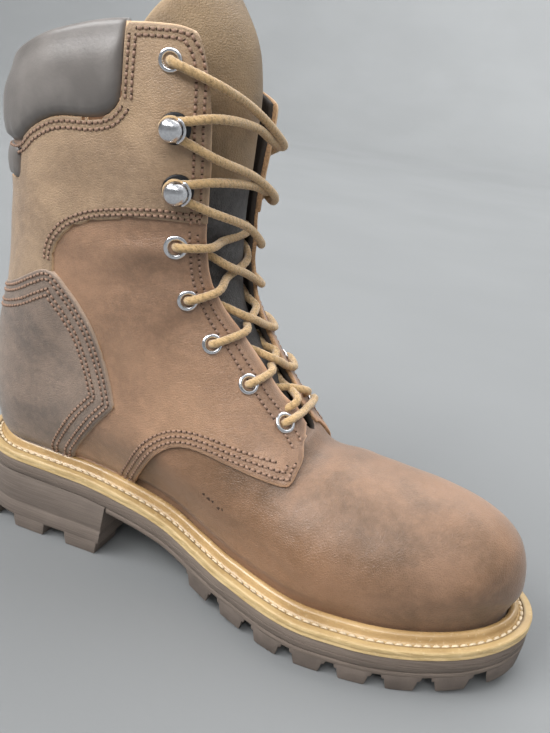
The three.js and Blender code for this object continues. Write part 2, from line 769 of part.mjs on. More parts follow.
const beadStart = weltWidth - beadWidth;
const grownUpper = wallOf(form, -2 * upperWall, clearance);
const welt = band([
  [0, 0], [0, weltThickness - weltEdge], [weltEdge, weltThickness],
  [beadStart - weltEdge, weltThickness], [beadStart + weltEdge / 2, beadRise - weltEdge],
  [beadStart + beadWidth / 2, beadRise], [weltWidth - weltEdge / 2, beadRise - weltEdge],
  [weltWidth, 0],
]);

const onSeat = (offset) => (x) => seatHeight(x) + offset;
const midsole = slab([
  [sideInset, onSeat(-midsoleThickness)], [sideInset, onSeat(-0.62 * midsoleThickness)],
  [sideInset + sideGrooveDepth, onSeat(-0.56 * midsoleThickness)],
  [sideInset, onSeat(-0.5 * midsoleThickness)], [sideInset, onSeat(-clearance)],
]);
const insoleInset = seatInset + upperWall + 3 * clearance;
const insole = slab([[insoleInset, onSeat(clearance)], [insoleInset, onSeat(insoleThickness)]]);

const chordSpare = 0.1;
const plateTop = (x) => layerHeight(x) - midsoleThickness - clearance - chordSpare;
const plateBottom = (x) => layerHeight(x) - midsoleThickness - outsoleThickness;
const treadBottom = (x) => Math.max(seatHeight(x) - foreSeat - treadFlat, 0);
const shankStart = heelBlockLength + plateInset;
const foreX = (inset) => (i) =>
  mix(shankStart, soleLength - inset, Math.sin(Math.PI * i / roundSteps / 2));

// One lug: a block along the outline from one length to another, tapered to its tread.
function lug(side, fromX, toX, outerInset, innerInset, top, bottom) {
  const steps = 2;
  const surface = new Surface();
  const level = (height, shrink) => {
    const xs = shares(steps).map((t) => mix(fromX + shrink, toX - shrink, t));
    const outer = xs.map((x) => solePoint(side, Math.min(x, soleLength - outerInset - shrink - 0.2),
      outerInset + shrink, height(x)));
    const inner = xs.map((x) => {
      const half = Math.max(outlineHalf(side, Math.min(x, soleLength - innerInset), innerInset), 1.5);
      return new THREE.Vector3(x - originAhead, sideSign[side] * half, height(x));
    });
    return [...outer, ...inner.reverse()];
  };
  const up = level(top, 0);
  const down = level(bottom, lugDraft);
  surface.grid([[...up, up[0]], [...down, down[0]]], false);
  const half = steps + 1;
  surface.grid([up.slice(0, half), up.slice(half).reverse()], true);
  surface.grid([down.slice(0, half), down.slice(half).reverse()], false);
  return manifoldOf(surface.points, surface.triangles);
}

const firstLug = firstLugAlong * soleLength;
const lugCount = Math.floor((soleLength - lastLugGap - firstLug) / lugPitch);
const intoPlate = (x) => plateBottom(x) + lugRoot;
function centreBlock(x, length, width, top, bottom) {
  const shape = new THREE.Shape([
    [-length / 2, -width / 2], [0, -width / 3], [length / 2, -width / 2],
    [length / 2, width / 2], [0, width / 3], [-length / 2, width / 2],
  ].map(([a, b]) => new THREE.Vector2(a, b)));
  const geometry = new THREE.ExtrudeGeometry(shape, { depth: top - bottom, bevelEnabled: false });
  geometry.translate(x - originAhead, 0, bottom);
  return manifoldFrom(geometry);
}
let outsole = slab([
  [plateInset, plateBottom, foreX(plateInset)], [plateInset, plateTop, foreX(plateInset)],
]);
for (let i = 0; i < lugCount; i += 1) {
  const fromX = firstLug + i * lugPitch;
  for (const side of sides) {
    outsole = outsole.add(lug(side, fromX, fromX + lugLength, lugInset, lugInward,
      intoPlate, treadBottom));
  }
  const middle = fromX + lugLength / 2 + lugPitch / 2;
  const half = Math.min(outlineHalf('lateral', middle, lugInward), outlineHalf('medial', middle, lugInward));
  if (half > narrowestBlock && i < lugCount - 1) {
    outsole = outsole.add(centreBlock(middle, blockLengthShare * lugLength, 2 * (half - blockGap),
      intoPlate(middle), treadBottom(middle)));
  }
}
for (const side of sides) {
  outsole = outsole.add(lug(side, soleLength - tipLugFrom, soleLength - tipLugTo, lugInset, tipLugInward,
    intoPlate, treadBottom));
}

// Heel block with a slanted breast, and its own lugs on one flat plane.
const heelX = (length) => (i) => mix(heelInset, length, 1 - Math.cos(Math.PI * i / roundSteps / 2));
let heel = slab([
  [heelInset, () => lugDepth, heelX(heelBlockLength - breastSlant)],
  [heelInset, plateTop, heelX(heelBlockLength)],
]);
const heelLugSpan = heelBlockLength - breastSlant - heelLugEdge - heelLugSpare;
const heelPitch = (heelLugSpan - heelLugLength) / (heelLugs - 1);
for (let i = 0; i < heelLugs; i += 1) {
  const fromX = heelLugEdge + i * heelPitch;
  for (const side of sides) {
    heel = heel.add(lug(side, fromX, fromX + heelLugLength, heelInset, heelLugInward,
      () => lugDepth + lugRoot, () => 0));
  }
}
heel = heel.add(centreBlock(originAhead, heelBlock.length, heelBlock.width, lugDepth + lugRoot, 0));

// Tongue: the same form drawn in under the upper's wall, along the shin line and above the collar.
const tongueRows = 11;
const tongueColumns = 4;
const tongueStart = throatShare - 0.03;
const tongueTable = [
  { up: 0.00, spread: 0.36, sink: 3.0, drop: 0 },
  { up: 0.12, spread: 0.46, sink: 1.6, drop: 0 },
  { up: 0.30, spread: 0.66, sink: 0.0, drop: 0 },
  { up: 0.50, spread: 0.86, sink: 0.0, drop: 0 },
  { up: 0.68, spread: 0.98, sink: -1.0, drop: 0 },
  { up: 0.85, spread: 1.10, sink: -5.0, drop: 7 },
  { up: 1.00, spread: 1.38, sink: 1.0, drop: 26 },
];
const tongueSpread = reader(tongueTable, 'up', 'spread');
const tongueSink = reader(tongueTable, 'up', 'sink');
const tongueDrop = reader(tongueTable, 'up', 'drop');
const tongueForm = new Surface();
for (const side of sides) {
  tongueForm.grid(shares(tongueRows).map((t) => shares(tongueColumns).map((w) => {
    const share = mix(tongueStart, 1, t);
    const at = frontCurve.getPointAt(share);
    const run = frontCurve.getTangentAt(share);
    const angle = w * tongueSpread(t);
    const depth = ridgeRounding * (1 - Math.cos(angle)) + tongueSink(t);
    const drop = tongueDrop(t) * w ** 3;
    const x = at.x - run.y * depth - run.x * drop;
    const z = at.y + run.x * depth - run.y * drop;
    const half = widthShare(z / shaftHeight) * shaftWidth / 2 * Math.sin(angle);
    return new THREE.Vector3(x - originAhead, w === 0 ? 0 : sideSign[side] * half, z);
  })), side === 'lateral');
}
const tongueSkin = -(upperWall + 3 * clearance);
const tongue = wallOf(tongueForm, tongueSkin - tongueThickness, tongueSkin);

// Pads at the collar: a long one round the back and sides, and a short roll under it.
const padRows = 4;
function pad(columns, frontX, lower, upper, thickness) {
  const surface = new Surface();
  const bulges = new Map();
  const key = (point) => point.toArray().map((v) => v.toFixed(3)).join();
  for (const side of sides) {
    surface.grid(shares(padRows).map((t) => shares(columns).map((c) => {
      const share = 1 - Math.cos(Math.PI * c / 2);
      const low = lower(mix(backLine(vampTop + shaftHeight / 2), frontX, share));
      const high = upper(side, mix(backLine(vampTop + shaftHeight / 2), frontX, share));
      const z = mix(low, high, t);
      const point = formPoint(side, { x: mix(backLine(z), frontX, share), y: z });
      if (c === 0) point.y = 0;
      const rise = closing(1 - c, 0.25) * closing(Math.min(t, 1 - t), 0.5);
      bulges.set(key(point), mix(panelThickness, thickness, rise));
      return point;
    })), side === 'medial');
  }
  return wallOf(surface, -1, (point) => bulges.get(key(point)))
    .subtract(grownUpper).subtract(shaftCutter);
}
const padEdge = reader(padLine, 'along', 'rise');
const collarPad = largest(pad(
  8, padFrontX, (x) => vampTop + padEdge(x / soleLength) * shaftHeight - clearance,
  (side, x) => collarHeight(side, x) - 3 * clearance, padThickness,
));
const rollTop = vampTop + padLine[0].rise * shaftHeight - clearance;
const rollBottom = vampTop + rollLine[0].rise * shaftHeight;
const collarRoll = largest(pad(
  5, rollLine[2].along * soleLength, () => rollBottom, () => rollTop, rollThickness));

// Metal eyelets and hooks, seated over the panels with a clearance.
const panelTop = clearance + shaftThickness + clearance;
const eyeletInner = eyeletHole / 2;
const eyelet = turned([
  [eyeletInner, -upperWall], [eyeletInner + barrel, -upperWall], [eyeletInner + barrel, panelTop],
  [eyeletOuter / 2, panelTop], [eyeletOuter / 2 - barrel, panelTop + eyeletFlange],
  [eyeletInner, panelTop + eyeletFlange], [eyeletInner, -upperWall],
]);
const hookBase = panelTop + clearance;
const hookRise = hookBase + eyeletFlange;
const hookDome = hookRise + laceDiameter + 2 * clearance;
const hook = turned([
  [0, hookBase], [hookPlate / 2, hookBase], [hookPlate / 2, hookRise], [hookStem / 2, hookRise],
  [hookStem / 2, hookDome], [hookBall / 2, hookDome + hookReach / 5],
  [0.9 * hookBall / 2, hookDome + 0.7 * hookReach], [0, hookDome + hookReach],
]);

// Lace: two runs that cross at the throat's middle, with loops round the hooks and a bar at the foot.
const laceRadius = laceDiameter / 2;
const laceSides = 5;
const laceStep = 27;
const laceSpare = 1.4;
const spotOf = (side, index) => lacing.find((spot) => spot.side === side && spot.index === index);
const other = { lateral: 'medial', medial: 'lateral' };
const overEyelet = panelTop + eyeletFlange + clearance + laceRadius + laceSpare;
function throatSpot(side, z) {
  const at = throatCurve.getPoints(200).reduce((best, point) =>
    Math.abs(point.y - z) < Math.abs(best.y - z) ? point : best);
  return formPoint(side, at).addScaledVector(formNormal(side, at), overEyelet);
}
function ridgeSpot(z, above = laceRadius + panelThickness) {
  const at = frontPoints.filter((point) => point.y > vampTop).reduce((best, point) =>
    Math.abs(point.y - z) < Math.abs(best.y - z) ? point : best);
  return new THREE.Vector3(at.x + above - originAhead, 0, at.y + above / 2);
}
const anchor = (spot, height) => spot.point.clone().addScaledVector(spot.normal, height);
// Half a turn round a hook's stem, from above it to below it, behind it.
function hookTurn(spot) {
  const up = new THREE.Vector3(0, 0, 1).projectOnPlane(spot.normal).normalize();
  const ahead = new THREE.Vector3(1, 0, 0).projectOnPlane(spot.normal).projectOnPlane(up).normalize();
  const reach = hookStem / 2 + clearance + laceRadius + laceSpare;
  const centre = anchor(spot, hookRise + clearance + laceRadius);
  return [-75, -125, 180, 125, 75].map((degrees) => {
    const angle = THREE.MathUtils.degToRad(degrees);
    return centre.clone().addScaledVector(ahead, reach * Math.cos(angle))
      .addScaledVector(up, reach * Math.sin(angle));
  });
}
function laceRun(firstSide) {
  const points = [];
  let side = firstSide;
  for (let i = 0; i < lacingTable.length; i += 1) {
    const spot = spotOf(side, i);
    if (spot.kind === 'hook') points.push(...hookTurn(spot));
    else points.push(anchor(spot, overEyelet));
    const next = spotOf(other[side], i + 1);
    if (next) {
      const heights = [spot, next, spotOf(other[side], i), spotOf(side, i + 1)].map(({ at }) => at.y);
      const middle = heights.reduce((sum, z) => sum + z / heights.length, 0);
      points.push(throatSpot(side, mix(spot.at.y, middle, 0.75)));
      points.push(ridgeSpot(middle));
      points.push(throatSpot(other[side], mix(next.at.y, middle, 0.5)));
    }
    side = other[side];
  }
  return points;
}
// A cord along a smooth line through its points, closed at both ends.
function cordOf(points) {
  const line = new THREE.CatmullRomCurve3(points, false, 'centripetal');
  const along = [points[0]];
  for (let i = 1; i < points.length; i += 1) {
    const steps = Math.ceil(points[i].distanceTo(points[i - 1]) / laceStep);
    for (let j = 1; j <= steps; j += 1) along.push(line.getPoint((i - 1 + j / steps) / (points.length - 1)));
  }
  let normal = new THREE.Vector3(0, 0, 1);
  const rings = along.map((point, i) => {
    const run = along[Math.min(i + 1, along.length - 1)].clone().sub(along[Math.max(i - 1, 0)]).normalize();
    normal = normal.clone().projectOnPlane(run).normalize();
    const across = run.clone().cross(normal);
    return shares(laceSides).map((t) => point.clone()
      .addScaledVector(normal, laceRadius * Math.cos(2 * Math.PI * (t % 1)))
      .addScaledVector(across, laceRadius * Math.sin(2 * Math.PI * (t % 1))));
  });
  const surface = new Surface();
  const end = along[along.length - 1];
  surface.grid([rings[0].map(() => along[0]), ...rings, rings[0].map(() => end)], false);
  return manifoldOf(surface.points, surface.triangles);
}
const footBar = [
  anchor(spotOf('lateral', 0), overEyelet),
  ridgeSpot(spotOf('lateral', 0).at.y + laceDiameter, 1.6 * laceDiameter),
  anchor(spotOf('medial', 0), overEyelet),
];
const laces = cordOf(laceRun('lateral')).add(cordOf(laceRun('medial'))).add(cordOf(footBar));

// The assembly, each piece with its own colour and finish
const finishes = {
  leather: { colour: 0x75543f, roughness: 0.62 },
  shaft: { colour: 0x8a6a4c, roughness: 0.7 },
  counter: { colour: 0x5b4c42, roughness: 0.6 },
  pad: { colour: 0x4d4541, roughness: 0.5 },
  tongue: { colour: 0x7f6247, roughness: 0.7 },
  welt: { colour: 0xc9a356, roughness: 0.55 },
  rubber: { colour: 0x6b5f57, roughness: 0.85 },
  tread: { colour: 0x4a403a, roughness: 0.85 },
  insole: { colour: 0x3d342e, roughness: 0.9 },
  metal: { colour: 0xc8c8cc, roughness: 0.25, metalness: 1 },
  lace: { colour: 0xb48a4c, roughness: 0.9 },
};

const group = new THREE.Group();
function place(name, solid, finish) {
  const { vertProperties, triVerts, numProp } = solid.getMesh();
  const count = vertProperties.length / numProp;
  const positions = new Float32Array(3 * count);
  for (let i = 0; i < count; i += 1) {
    for (let j = 0; j < 3; j += 1) positions[3 * i + j] = vertProperties[numProp * i + j];
  }
  const geometry = new THREE.BufferGeometry();
  geometry.setAttribute('position', new THREE.BufferAttribute(positions, 3));
  geometry.setIndex(new THREE.BufferAttribute(new Uint32Array(triVerts), 1));
  geometry.computeVertexNormals();
  const { colour, roughness, metalness = 0 } = finishes[finish];
  const mesh = new THREE.Mesh(geometry, new THREE.MeshStandardMaterial({
    color: colour, roughness, metalness,
  }));
  mesh.name = name;
  group.add(mesh);
}

place('upper', upperShell, 'leather');
place('insole', insole, 'insole');
place('welt', welt, 'welt');
place('midsole', midsole, 'rubber');
place('outsole', outsole, 'tread');
place('heel', heel, 'rubber');
place('tongue', tongue, 'tongue');
place('heel_counter', counter, 'counter');
place('quarter_lateral', quarters.lateral, 'leather');
place('quarter_medial', quarters.medial, 'leather');
place('shaft_panel', shaftPanel, 'shaft');
place('collar_pad', collarPad, 'pad');
place('collar_roll', collarRoll, 'pad');
// A hook drawn down along its axis until its plate lies a clearance above the panel.
function onPanel(solid, spot) {
  const spare = solid.minGap(shaftPanel, hookPlate) - clearance;
  return solid.translate(spot.normal.clone().multiplyScalar(-spare).toArray());
}
for (const spot of lacing) {
  const name = `${spot.kind}_${spot.side}_${spot.index + 1}`;
  const solid = manifoldFrom(settled(spot.kind === 'hook' ? hook : eyelet, spot));
  place(name, spot.kind === 'hook' ? onPanel(solid, spot) : solid, 'metal');
}
place('laces', laces, 'lace');

export default group;
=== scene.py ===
import math

import bmesh
import bpy
import numpy as np
from bpy.props import FloatProperty, FloatVectorProperty, PointerProperty
from bpy.types import Operator, Panel, PropertyGroup
from mathutils import Matrix, Vector


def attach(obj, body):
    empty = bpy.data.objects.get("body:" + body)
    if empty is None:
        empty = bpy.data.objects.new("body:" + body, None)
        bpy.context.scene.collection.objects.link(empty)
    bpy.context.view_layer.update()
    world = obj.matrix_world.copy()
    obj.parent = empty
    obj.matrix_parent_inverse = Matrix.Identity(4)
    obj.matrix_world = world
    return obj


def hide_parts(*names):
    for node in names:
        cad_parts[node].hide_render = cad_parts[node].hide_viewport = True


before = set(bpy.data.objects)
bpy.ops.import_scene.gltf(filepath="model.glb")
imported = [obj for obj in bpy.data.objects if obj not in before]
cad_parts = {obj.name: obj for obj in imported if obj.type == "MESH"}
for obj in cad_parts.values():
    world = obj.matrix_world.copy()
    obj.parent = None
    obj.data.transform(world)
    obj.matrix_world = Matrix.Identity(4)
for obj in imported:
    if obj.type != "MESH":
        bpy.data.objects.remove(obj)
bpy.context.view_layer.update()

bl_info = {
    "name": "Logger boot",
    "version": (1, 0, 0),
    "blender": (4, 5, 0),
    "location": "View3D > Sidebar > Boot",
    "description": "Builds the visible pieces of a laced logger boot over its packed solids",
    "category": "Add Mesh",
}

MM = 0.001

# Sizes in millimetres. X here runs from the heel's back edge to the toe.
SOLE_LENGTH = 318.0
BALL_WIDTH = 110.0
HEEL_ROUNDING = 40.0
TOE_ROUNDING = 80.0
ORIGIN_AHEAD = 45.0
HEEL_BLOCK_HEIGHT = 36.0
HEEL_BLOCK_LENGTH = 95.0
BREAST_SLANT = 3.0
LUG_DEPTH = 7.4
OUTSOLE = 3.5
MIDSOLE = 7.4
TOE_SPRING = 7.5
TREAD_FLAT = 0.6
WELT_THICKNESS = 4.6
WELT_WIDTH = 11.7
BEAD_RISE = 8.9
BEAD_WIDTH = 4.6
UPPER_WALL = 2.6
TOE_BOX_HEIGHT = 70.0
SHAFT_HEIGHT = 228.0
SHAFT_WIDTH = 96.0
SHAFT_ROUNDING = 50.0
RIDGE_ROUNDING = 48.0
BEAD_TUCK = 2.6
FACING_FLARE = 11.0
TONGUE_THICKNESS = 3.4
CLEARANCE = 0.3
QUARTER = 2.1
SHAFT_PANEL = 3.4
COUNTER = 3.9
PANEL_SINK = 0.2
STITCH_LIFT = 0.1
LINING_GAP = 3 * CLEARANCE
LATERAL, MEDIAL = -1, 1
SIDES = (LATERAL, MEDIAL)
SIDE_WORDS = ((LATERAL, "lateral"), (MEDIAL, "medial"))

# Share of the shaft's height where the back strip starts and ends, and its half width
STRIP_BOTTOM, STRIP_TOP, STRIP_HALF = 0.330, 0.482, 6.0
PAD_BULGE, ROLL_BULGE = 7.0, 5.0

# Tread sizes
FIRST_LUG = 0.47 * SOLE_LENGTH
LAST_LUG_GAP = 14
LUG_PITCH = 22.0
LUG_LENGTH = 15.5
LUG_INWARD = 26.0
LUG_INSET = 0.4
LUG_DRAFT = 1.6
LUG_STEPS = 6
LUG_STEP_SPREAD = 1.4
NARROWEST_BLOCK = 12
BLOCK_GAP = 4.5
PLATE_GAP = 0.8
HEEL_LUGS = 3
HEEL_LUG_LENGTH = 21.0
HEEL_LUG_INWARD = 22
HEEL_EDGE = 0.5

# Stitch, lace and hook sizes
STITCH_WIDTH, STITCH_HEIGHT = 1.55, 1.15
WELT_STITCH_PITCH = 4.4
LACE_RADIUS = 2.0
LACE_LOBES = 1.5
HOOK_NECK = 2.9
HOOK_LOOP = 3.75

# along, lateral, medial, swell lateral, swell medial
PLAN = (
    (0.00, 0.340, 0.350, 0.050, 0.050), (0.13, 0.340, 0.350, 0.052, 0.050),
    (0.27, 0.333, 0.318, 0.075, 0.085), (0.40, 0.325, 0.288, 0.100, 0.130),
    (0.54, 0.440, 0.360, 0.030, 0.095), (0.68, 0.535, 0.455, 0.022, 0.045),
    (0.76, 0.515, 0.480, 0.020, 0.025), (0.88, 0.476, 0.492, 0.020, 0.020),
    (1.00, 0.464, 0.510, 0.020, 0.020),
)
# along, lift, spring
SEAT = (
    (0.00, 1.00, 0.00), (0.24, 0.93, 0.00), (0.35, 0.72, 0.00), (0.47, 0.31, 0.00), (0.60, 0.07, 0.00),
    (0.72, 0.00, 0.00), (0.82, 0.00, 0.06), (0.91, 0.00, 0.37), (1.00, 0.00, 1.00),
)
# along, rise in the toe box
VAMP_LINE = (
    (0.9616, 0.118), (0.9622, 0.245), (0.9735, 0.330), (0.9745, 0.430), (0.9690, 0.560), (0.9550, 0.690),
    (0.9320, 0.785), (0.9030, 0.855), (0.8680, 0.905), (0.8180, 0.940), (0.7600, 0.955), (0.6900, 0.985),
)
# along, rise in the shaft
SHIN_LINE = (
    (0.6350, -0.005), (0.6120, 0.020), (0.5870, 0.052), (0.5590, 0.096), (0.5060, 0.182), (0.4640, 0.266),
    (0.4480, 0.350), (0.4430, 0.450), (0.4420, 0.560), (0.4360, 0.680), (0.4250, 0.755), (0.4090, 0.834),
    (0.3840, 0.921),
)
# height, back, width
SHAFT = (
    (0.17, 0.0390, 0.66), (0.24, 0.0330, 0.66), (0.31, 0.0270, 0.69), (0.42, 0.0255, 0.72),
    (0.50, 0.0300, 0.76), (0.60, 0.0470, 0.82), (0.72, 0.0580, 0.89), (0.86, 0.0620, 0.95),
    (1.00, 0.0620, 0.99), (1.20, 0.0600, 1.00), (1.40, 0.0600, 1.00),
)
# along, rise
THROAT_LINE = (
    (0.6060, 0.027), (0.5680, 0.080), (0.5330, 0.130), (0.4800, 0.218), (0.4500, 0.275), (0.4300, 0.340),
    (0.4210, 0.420), (0.4190, 0.520), (0.4200, 0.600), (0.4190, 0.690), (0.4120, 0.750), (0.3990, 0.790),
    (0.3720, 0.830),
)
# along, lateral, medial
COLLAR = (
    (0.00, 0.692, 0.692), (0.07, 0.696, 0.696), (0.12, 0.728, 0.728), (0.20, 0.772, 0.750),
    (0.30, 0.804, 0.745), (0.37, 0.810, 0.718), (0.42, 0.785, 0.690),
)
# along, rise
COUNTER_LINE = (
    (-0.025, 0.192), (0.044, 0.214), (0.104, 0.246), (0.151, 0.284), (0.179, 0.304), (0.201, 0.301),
    (0.223, 0.271), (0.245, 0.236), (0.274, 0.170), (0.306, 0.034), (0.305, 0.012), (0.278, -0.035),
    (0.247, -0.090), (0.223, -0.142), (0.208, -0.194),
)
QUARTER_LINE = (
    (0.330, -0.194), (0.340, -0.168), (0.363, -0.114), (0.389, -0.063), (0.415, -0.033), (0.443, -0.021),
    (0.477, -0.023), (0.522, -0.034), (0.563, -0.044), (0.607, -0.052), (0.613, -0.023), (0.611, -0.004),
    (0.603, 0.019), (0.594, 0.043),
)
SEAM_LINE = (
    (0.198, 0.288), (0.199, 0.336), (0.206, 0.366), (0.223, 0.396), (0.247, 0.417), (0.276, 0.433),
    (0.323, 0.448), (0.371, 0.457), (0.417, 0.453), (0.472, 0.446),
)
PAD_LINE = (
    (-0.025, 0.547), (0.094, 0.551), (0.132, 0.558), (0.157, 0.586), (0.187, 0.611), (0.216, 0.624),
    (0.264, 0.630), (0.292, 0.643), (0.307, 0.670),
)
ROLL_LINE = ((-0.025, 0.477), (0.094, 0.477), (0.130, 0.483))
# kind, along, lateral rise, medial rise
LACING = (
    ("eyelet", 0.569, 0.055, 0.055), ("eyelet", 0.508, 0.131, 0.131), ("eyelet", 0.449, 0.209, 0.209),
    ("eyelet", 0.409, 0.298, 0.298), ("eyelet", 0.389, 0.407, 0.400), ("hook", 0.384, 0.521, 0.492),
    ("hook", 0.380, 0.635, 0.590), ("eyelet", 0.370, 0.749, 0.672),
)
# up, spread, sink, drop
TONGUE = (
    (0.00, 0.36, 3.0, 0.0), (0.12, 0.46, 1.6, 0.0), (0.30, 0.66, 0.0, 0.0), (0.50, 0.86, 0.0, 0.0),
    (0.68, 0.98, -1.0, 0.0), (0.85, 1.10, -5.0, 7.0), (1.00, 1.38, 1.0, 26.0),
)
# Soft folds of the leather: along, rise, length, width, depth, tilt in degrees
FOLDS = (
    (0.370, 0.360, 34.0, 5.0, 0.9, -8.0), (0.335, 0.300, 46.0, 8.0, 0.8, 22.0),
    (0.300, 0.385, 40.0, 9.0, -0.7, 10.0), (0.400, 0.190, 34.0, 6.0, 0.6, 50.0),
    (0.250, 0.500, 60.0, 10.0, 0.6, 6.0), (0.670, -0.120, 30.0, 4.0, 0.5, 64.0),
    (0.700, -0.070, 34.0, 5.0, 0.5, 72.0), (0.735, -0.130, 26.0, 4.0, 0.4, 80.0),
    (0.200, 0.120, 44.0, 9.0, 0.5, 70.0), (0.120, 0.440, 50.0, 8.0, 0.5, -4.0),
    (0.360, 0.428, 30.0, 3.4, 1.1, 12.0), (0.350, 0.386, 38.0, 4.6, -0.9, 6.0),
    (0.330, 0.325, 54.0, 7.0, 0.9, 18.0), (0.405, 0.240, 30.0, 5.0, 0.9, 40.0),
    (0.600, -0.185, 34.0, 2.8, 0.6, -24.0), (0.625, -0.165, 30.0, 2.4, 0.5, -18.0),
    (0.640, -0.205, 26.0, 2.4, 0.4, -28.0), (0.330, 0.640, 30.0, 6.0, 0.7, 80.0),
)
# Dark specks on the vamp: along, rise, diameter
SPECKS = (
    (0.480, -0.118, 1.7), (0.489, -0.124, 2.3), (0.497, -0.127, 1.5), (0.509, -0.137, 1.9),
    (0.516, -0.135, 1.2),
)
# The lace through the upper lacing: kind of place, side or shift to the inner side, height or index, out
UPPER_LACING = (
    ("throat", MEDIAL, 175.5, 4.2), ("ridge", 9, 182.0, 4.6), ("ridge", -8, 190.5, 4.6),
    ("throat", LATERAL, 198.5, SHAFT_PANEL + 2.3), ("hook", LATERAL, 5, 0),
    ("throat", LATERAL, 212.5, SHAFT_PANEL + 2.3), ("ridge", -8, 210.0, 4.6), ("ridge", 10, 206.0, 4.2),
    ("throat", MEDIAL, 203.0, SHAFT_PANEL + 2.4), ("hook", MEDIAL, 5, 0),
    ("throat", MEDIAL, 198.5, SHAFT_PANEL + 4.4), ("ridge", 10, 205.5, 8.6), ("ridge", -10, 214.5, 5.8),
    ("throat", LATERAL, 223.0, SHAFT_PANEL + 2.3), ("hook", LATERAL, 6, 0),
    ("throat", LATERAL, 239.0, SHAFT_PANEL + 2.4), ("ridge", -9, 236.0, 4.8), ("ridge", 11, 230.0, 4.6),
    ("throat", MEDIAL, 226.0, SHAFT_PANEL + 2.6), ("hook", MEDIAL, 6, 0),
    ("throat", MEDIAL, 226.5, SHAFT_PANEL + 4.8), ("ridge", 10, 233.5, 7.6), ("ridge", -11, 243.5, 4.8),
    ("throat", LATERAL, 251.0, SHAFT_PANEL + 2.4),
)
# Lights: name, place and spread in degrees
LIGHTS = (
    ("key_soft", (0.25, 0.75, 1.35), 55), ("fill_left", (-0.9, -0.9, 1.0), 50),
    ("front_low", (0.3, -1.3, 0.75), 60),
)
LIGHT_TARGET = (0.11, 0.0, 0.12)
# Camera: focal length and height of the picture in pixels, angles in degrees, place in the row's frame
FOCAL_PIXELS, PICTURE_PIXELS, SENSOR = 770.65, 733.0, 36.0
AZIMUTH, ELEVATION, ROLL = 18.92, 20.52, 8.41
CAMERA_PLACE = (240.75, -347.43, 259.55)
# Floor: a flat disc that rises to a wall, in metres
FLOOR_FLAT, FLOOR_BEND, FLOOR_WALL, FLOOR_Z = 3.0, 1.6, 3.2, -0.0002


# Form
def reader(rows, column):
    at = np.array([row[0] for row in rows])
    value = np.array([row[column] for row in rows])
    secant = np.diff(value) / np.diff(at)
    product, total = secant[:-1] * secant[1:], secant[:-1] + secant[1:]
    inner = np.where(product <= 0, 0, 2 * product / np.where(total == 0, 1, total))
    slope = np.concatenate([secant[:1], inner, secant[-1:]])

    def read(x):
        x = np.clip(np.asarray(x, float), at[0], at[-1])
        i = np.clip(np.searchsorted(at, x, side="right") - 1, 0, len(at) - 2)
        span = at[i + 1] - at[i]
        t = (x - at[i]) / span
        start = (1 + 2 * t) * (1 - t) ** 2 * value[i] + t * (1 - t) ** 2 * span * slope[i]
        return start + t * t * (3 - 2 * t) * value[i + 1] + t * t * (t - 1) * span * slope[i + 1]

    return read


def clamp(t):
    return np.clip(t, 0.0, 1.0)


def smooth(t):
    return clamp(t) ** 2 * (3 - 2 * clamp(t))


def mix(a, b, t):
    return a + (b - a) * t


def spline_at(points, t):
    """Points of a Catmull-Rom curve at uniform parameters."""
    p = np.asarray(points, float)
    last = len(p) - 1
    s = np.asarray(t, float) * last
    i = np.clip(np.floor(s).astype(int), 0, last)
    w = (s - i)[..., None]
    p0, p1 = p[np.maximum(i - 1, 0)], p[i]
    p2, p3 = p[np.minimum(i + 1, last)], p[np.minimum(i + 2, last)]
    v0, v1 = (p2 - p0) * 0.5, (p3 - p1) * 0.5
    return (2 * p1 - 2 * p2 + v0 + v1) * w ** 3 + (-3 * p1 + 3 * p2 - 2 * v0 - v1) * w ** 2 + v0 * w + p1


class Line:
    """A curve read by its share of length."""

    def __init__(self, points, steps=600):
        self.points = spline_at(points, np.linspace(0, 1, steps + 1))
        length = np.linalg.norm(np.diff(self.points, axis=0), axis=1)
        self.along = np.concatenate([[0], np.cumsum(length)])
        self.length = self.along[-1]

    def at(self, share):
        s = np.asarray(share, float) * self.length
        return np.stack([np.interp(s, self.along, column) for column in self.points.T], axis=-1)

    def tangent(self, share):
        run = self.at(np.minimum(share + 0.004, 1)) - self.at(np.maximum(share - 0.004, 0))
        return run / np.linalg.norm(run, axis=-1, keepdims=True)


plan = {s: reader(PLAN, 1 if s < 0 else 2) for s in SIDES}
swell = {s: reader(PLAN, 3 if s < 0 else 4) for s in SIDES}
lift, spring = reader(SEAT, 1), reader(SEAT, 2)
back_share, width_share = reader(SHAFT, 1), reader(SHAFT, 2)
collar_rise = {s: reader(COLLAR, 1 if s < 0 else 2) for s in SIDES}
FORE_SEAT = LUG_DEPTH + OUTSOLE + MIDSOLE
HEEL_SEAT = HEEL_BLOCK_HEIGHT + MIDSOLE
VAMP_TOP = FORE_SEAT + TOE_BOX_HEIGHT
SEAT_INSET = WELT_WIDTH + CLEARANCE
TOE_TIP = SOLE_LENGTH - SEAT_INSET


def side_points(rows):
    return np.array([(a * SOLE_LENGTH, VAMP_TOP + r * SHAFT_HEIGHT) for a, r in rows])


def seat_height(x):
    a = np.asarray(x, float) / SOLE_LENGTH
    return FORE_SEAT + (HEEL_SEAT - FORE_SEAT) * lift(a) + TOE_SPRING * spring(a)


def closing(distance, rounding, square=2.0):
    return (1 - (1 - clamp(distance / rounding)) ** square) ** (1 / square)


def outline_half(side, x, inset):
    width = plan[side](x / SOLE_LENGTH) * BALL_WIDTH - inset
    return (width * closing(x - inset, HEEL_ROUNDING - inset)
            * closing(SOLE_LENGTH - inset - x, TOE_ROUNDING - inset))


def back_line(z):
    return back_share(np.asarray(z, float) / SHAFT_HEIGHT) * SOLE_LENGTH


